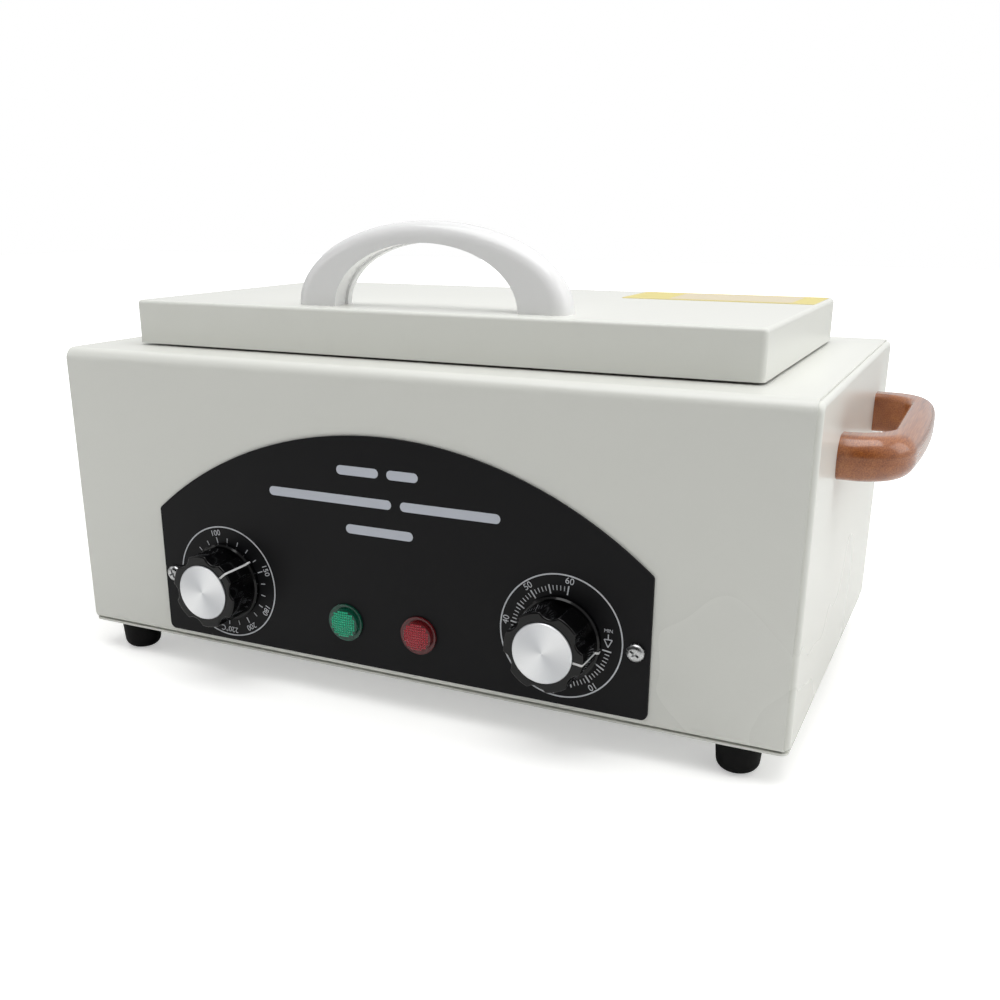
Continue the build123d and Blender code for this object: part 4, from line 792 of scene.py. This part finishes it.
# panel screws: pan heads with a cross recess; the crown in shares of the head's radius and height
screw = {
    "head": 4.0, "height": 2.5, "shank": 2.0, "length": 6.8, "point": 0.5, "steps": 40,
    "crown": [(0.0, 1.0), (0.45, 0.985), (0.72, 0.90), (0.90, 0.70), (0.985, 0.42), (1.0, 0.16),
              (0.97, 0.0)],
    "wing": 2.3, "slot": 0.95, "recess": 1.7, "recessFoot": 1.1, "over": 0.2,
    "turn": 24, "scatter": 0.6, "seed": 5,
}


def screwBody():
    shank, point, end = screw["shank"], screw["point"], -screw["length"]
    profile = [(screw["head"] * across, screw["height"] * up) for across, up in screw["crown"]]
    profile += [(shank, 0.0), (shank, end + point), (shank - point, end), (0.0, end)]
    work = bmesh.new()
    verts = [work.verts.new((reach * mm, 0, level * mm)) for reach, level in profile]
    edges = [work.edges.new(pair) for pair in zip(verts, verts[1:])]
    bmesh.ops.spin(work, geom=verts + edges, cent=(0, 0, 0), axis=(0, 0, 1), angle=2 * pi,
                   steps=screw["steps"])
    bmesh.ops.remove_doubles(work, verts=work.verts, dist=1e-7)
    bmesh.ops.recalc_face_normals(work, faces=work.faces)
    return closeMesh(work, "screwBody")


def screwCross():
    wing, slot, foot = screw["wing"], screw["slot"] / 2, screw["recessFoot"]
    high, low = screw["height"] + screw["over"], screw["height"] - screw["recess"]
    sides = ((-1, -1), (1, -1), (1, 1), (-1, 1))
    work = bmesh.new()
    for across, along in ((wing, slot), (slot, wing)):
        upper = [work.verts.new((x * across * mm, y * along * mm, high * mm)) for x, y in sides]
        lower = [work.verts.new((x * min(across, foot) * mm, y * min(along, foot) * mm, low * mm))
                 for x, y in sides]
        work.faces.new(upper)
        work.faces.new(lower[::-1])
        bridge(work, lower, upper)
    return closeMesh(work, "screwCross")


def cutScrew():
    head = linkObject("screwHead", screwBody())
    tool = linkObject("screwTool", screwCross())
    cut = head.modifiers.new("recess", "BOOLEAN")
    cut.operation = "DIFFERENCE"
    cut.object = tool
    cut.solver = "EXACT"
    cut.use_self = True
    mesh = evaluatedMesh(head)
    bpy.data.objects.remove(head)
    bpy.data.objects.remove(tool)
    return smooth(mesh, 40)


def screwTree():
    tree, given, end = newTree("screwRow", {
        "Geometry": "Geometry", "Screw": "Object", "Turn": "Float", "Seed": "Int", "Finish": "Material"})
    shape = addNode(tree, "GeometryNodeObjectInfo", {"transform_space": "ORIGINAL"}, {
        "Object": given["Screw"]}).outputs["Geometry"]
    chance = addNode(tree, "FunctionNodeRandomValue", {"data_type": "FLOAT"}, {
        2: -screw["scatter"], 3: screw["scatter"], "Seed": given["Seed"]}).outputs[1]
    turn = addNode(tree, "ShaderNodeMath", {"operation": "ADD"}, {0: chance, 1: given["Turn"]}).outputs[0]
    facing = addNode(tree, "FunctionNodeEulerToRotation", None, {0: (pi / 2, 0, 0)}).outputs[0]
    spinning = addNode(tree, "ShaderNodeCombineXYZ", None, {"Z": turn}).outputs[0]
    spin = addNode(tree, "FunctionNodeEulerToRotation", None, {0: spinning}).outputs[0]
    both = addNode(tree, "FunctionNodeRotateRotation", {"rotation_space": "LOCAL"}, {
        "Rotation": facing, "Rotate By": spin}).outputs[0]
    screws = addNode(tree, "GeometryNodeInstanceOnPoints", None, {
        "Points": given["Geometry"], "Instance": shape, "Rotation": both}).outputs[0]
    real = addNode(tree, "GeometryNodeRealizeInstances", None, {"Geometry": screws}).outputs[0]
    done = addNode(tree, "GeometryNodeSetMaterial", None, {"Geometry": real, "Material": given["Finish"]})
    tree.links.new(done.outputs[0], end.inputs[0])
    return tree


def addPanelScrews():
    low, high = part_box("panel_screws")
    z = (low.z + high.z) / 2
    reach = screw["head"] * mm
    starts = bpy.data.meshes.new("screwPlaces")
    starts.from_pydata([(low.x + reach, panelFront, z), (high.x - reach, panelFront, z)], [], [])
    shape = linkObject("screwShape", cutScrew())
    mesh = treeMesh(screwTree(), "panel_screw_heads", {
        "Screw": shape, "Turn": radians(screw["turn"]), "Seed": screw["seed"], "Finish": zinc}, starts)
    bpy.data.objects.remove(shape)
    piece = addPiece("panel_screw_heads", mesh, "housing_body")
    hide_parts("panel_screws")


addPanelScrews()
print("screws made")


# label: a paler field on the plain yellow sticker
labelField = {"width": 60, "depth": 36, "radius": 2, "shift": 6}


def addLabelField():
    low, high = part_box("lid_label")
    x, y = (low.x + high.x) / 2 + labelField["shift"] * mm, (low.y + high.y) / 2
    place = Matrix.Translation((x, y, high.z))
    outline = roundedOutline(labelField["width"], labelField["depth"], labelField["radius"])
    addPiece("label_field", plateMesh("label_field", outline, place), "lid", labelCream)


addLabelField()
print("label made")


# studio: a pale floor that whitens with distance, soft lamps, a room that is dark on the camera's side
studio = {
    "floor": "#F2F2F0", "floorRoughness": 0.6, "floorSize": 8.0, "gap": 0.1,
    "glow": 0.42, "near": 0.42, "far": 0.85,
    "bright": (0.45, 0.80, 0.40), "dim": 0.0, "full": 0.68, "dimFrom": -0.7, "fullFrom": 0.6,
    "lamps": {
        "top": {"place": (0.10, -0.16, 1.25), "aim": (0, 0, 0.15), "size": (1.3, 0.9), "power": 10.6},
        "right": {"place": (1.25, 0.30, 0.75), "aim": (0.1, 0, 0.12), "size": (0.8, 0.9), "power": 3.3},
        "left": {"place": (-0.80, -0.42, 0.35), "aim": (-0.20, 0, 0.1), "size": (0.5, 0.5), "power": 0.75},
    },
}


def addFloor():
    half = studio["floorSize"] / 2
    level = -studio["gap"] * mm
    mesh = bpy.data.meshes.new("floor")
    corners = [(x * half, y * half, level) for x, y in ((-1, -1), (1, -1), (1, 1), (-1, 1))]
    mesh.from_pydata(corners, [], [(0, 1, 2, 3)])
    material, tree, shader, where = newMaterial("studioFloor", studio["floor"], studio["floorRoughness"])
    ray = addNode(tree, "ShaderNodeLightPath").outputs
    away = addNode(tree, "ShaderNodeVectorMath", {"operation": "LENGTH"}, {0: where}).outputs["Value"]
    glow = addNode(tree, "ShaderNodeMapRange", {"interpolation_type": "SMOOTHSTEP"}, {
        "Value": away, "From Min": studio["near"], "From Max": studio["far"],
        "To Min": studio["glow"], "To Max": 1.0}).outputs[0]
    seen = addNode(tree, "ShaderNodeMath", {"operation": "MAXIMUM"}, {
        0: ray["Is Camera Ray"], 1: ray["Is Transmission Ray"]}).outputs[0]
    shown = addNode(tree, "ShaderNodeMath", {"operation": "MULTIPLY"}, {0: seen, 1: glow}).outputs[0]
    shader.inputs["Emission Color"].default_value = (1, 1, 1, 1)
    tree.links.new(shown, shader.inputs["Emission Strength"])
    mesh.materials.append(material)
    ground = linkObject("floor", mesh)


def addLamps():
    for name, lamp in studio["lamps"].items():
        data = bpy.data.lights.new(name + "Lamp", "AREA")
        data.shape = "RECTANGLE"
        data.size, data.size_y = lamp["size"]
        data.energy = lamp["power"]
        holder = linkObject(name + "Lamp", data)
        holder.location = lamp["place"]
        aim = Vector(lamp["aim"]) - Vector(lamp["place"])
        holder.rotation_euler = aim.to_track_quat("-Z", "Y").to_euler()


def addSurroundings():
    world = bpy.data.worlds.new("studioRoom")
    world.use_nodes = True
    scene.world = world
    tree = world.node_tree
    tree.nodes.clear()
    ray = addNode(tree, "ShaderNodeLightPath").outputs
    where = addNode(tree, "ShaderNodeTexCoord").outputs["Object"]
    towards = tuple(Vector(studio["bright"]).normalized())
    facing = addNode(tree, "ShaderNodeVectorMath", {"operation": "DOT_PRODUCT"}, {
        0: where, 1: towards}).outputs["Value"]
    light = addNode(tree, "ShaderNodeMapRange", {"interpolation_type": "SMOOTHSTEP"}, {
        "Value": facing, "From Min": studio["dimFrom"], "From Max": studio["fullFrom"],
        "To Min": studio["dim"], "To Max": studio["full"]}).outputs[0]
    seen = addNode(tree, "ShaderNodeMath", {"operation": "MAXIMUM"}, {
        0: ray["Is Camera Ray"], 1: ray["Is Transmission Ray"]}).outputs[0]
    strength = addNode(tree, "ShaderNodeMix", None, {0: seen, 2: light, 3: 1.0}).outputs[0]
    room = addNode(tree, "ShaderNodeBackground", None, {"Color": (1, 1, 1, 1), "Strength": strength})
    addNode(tree, "ShaderNodeOutputWorld", None, {"Surface": room.outputs[0]})


addFloor()
addLamps()
addSurroundings()
print("studio set")
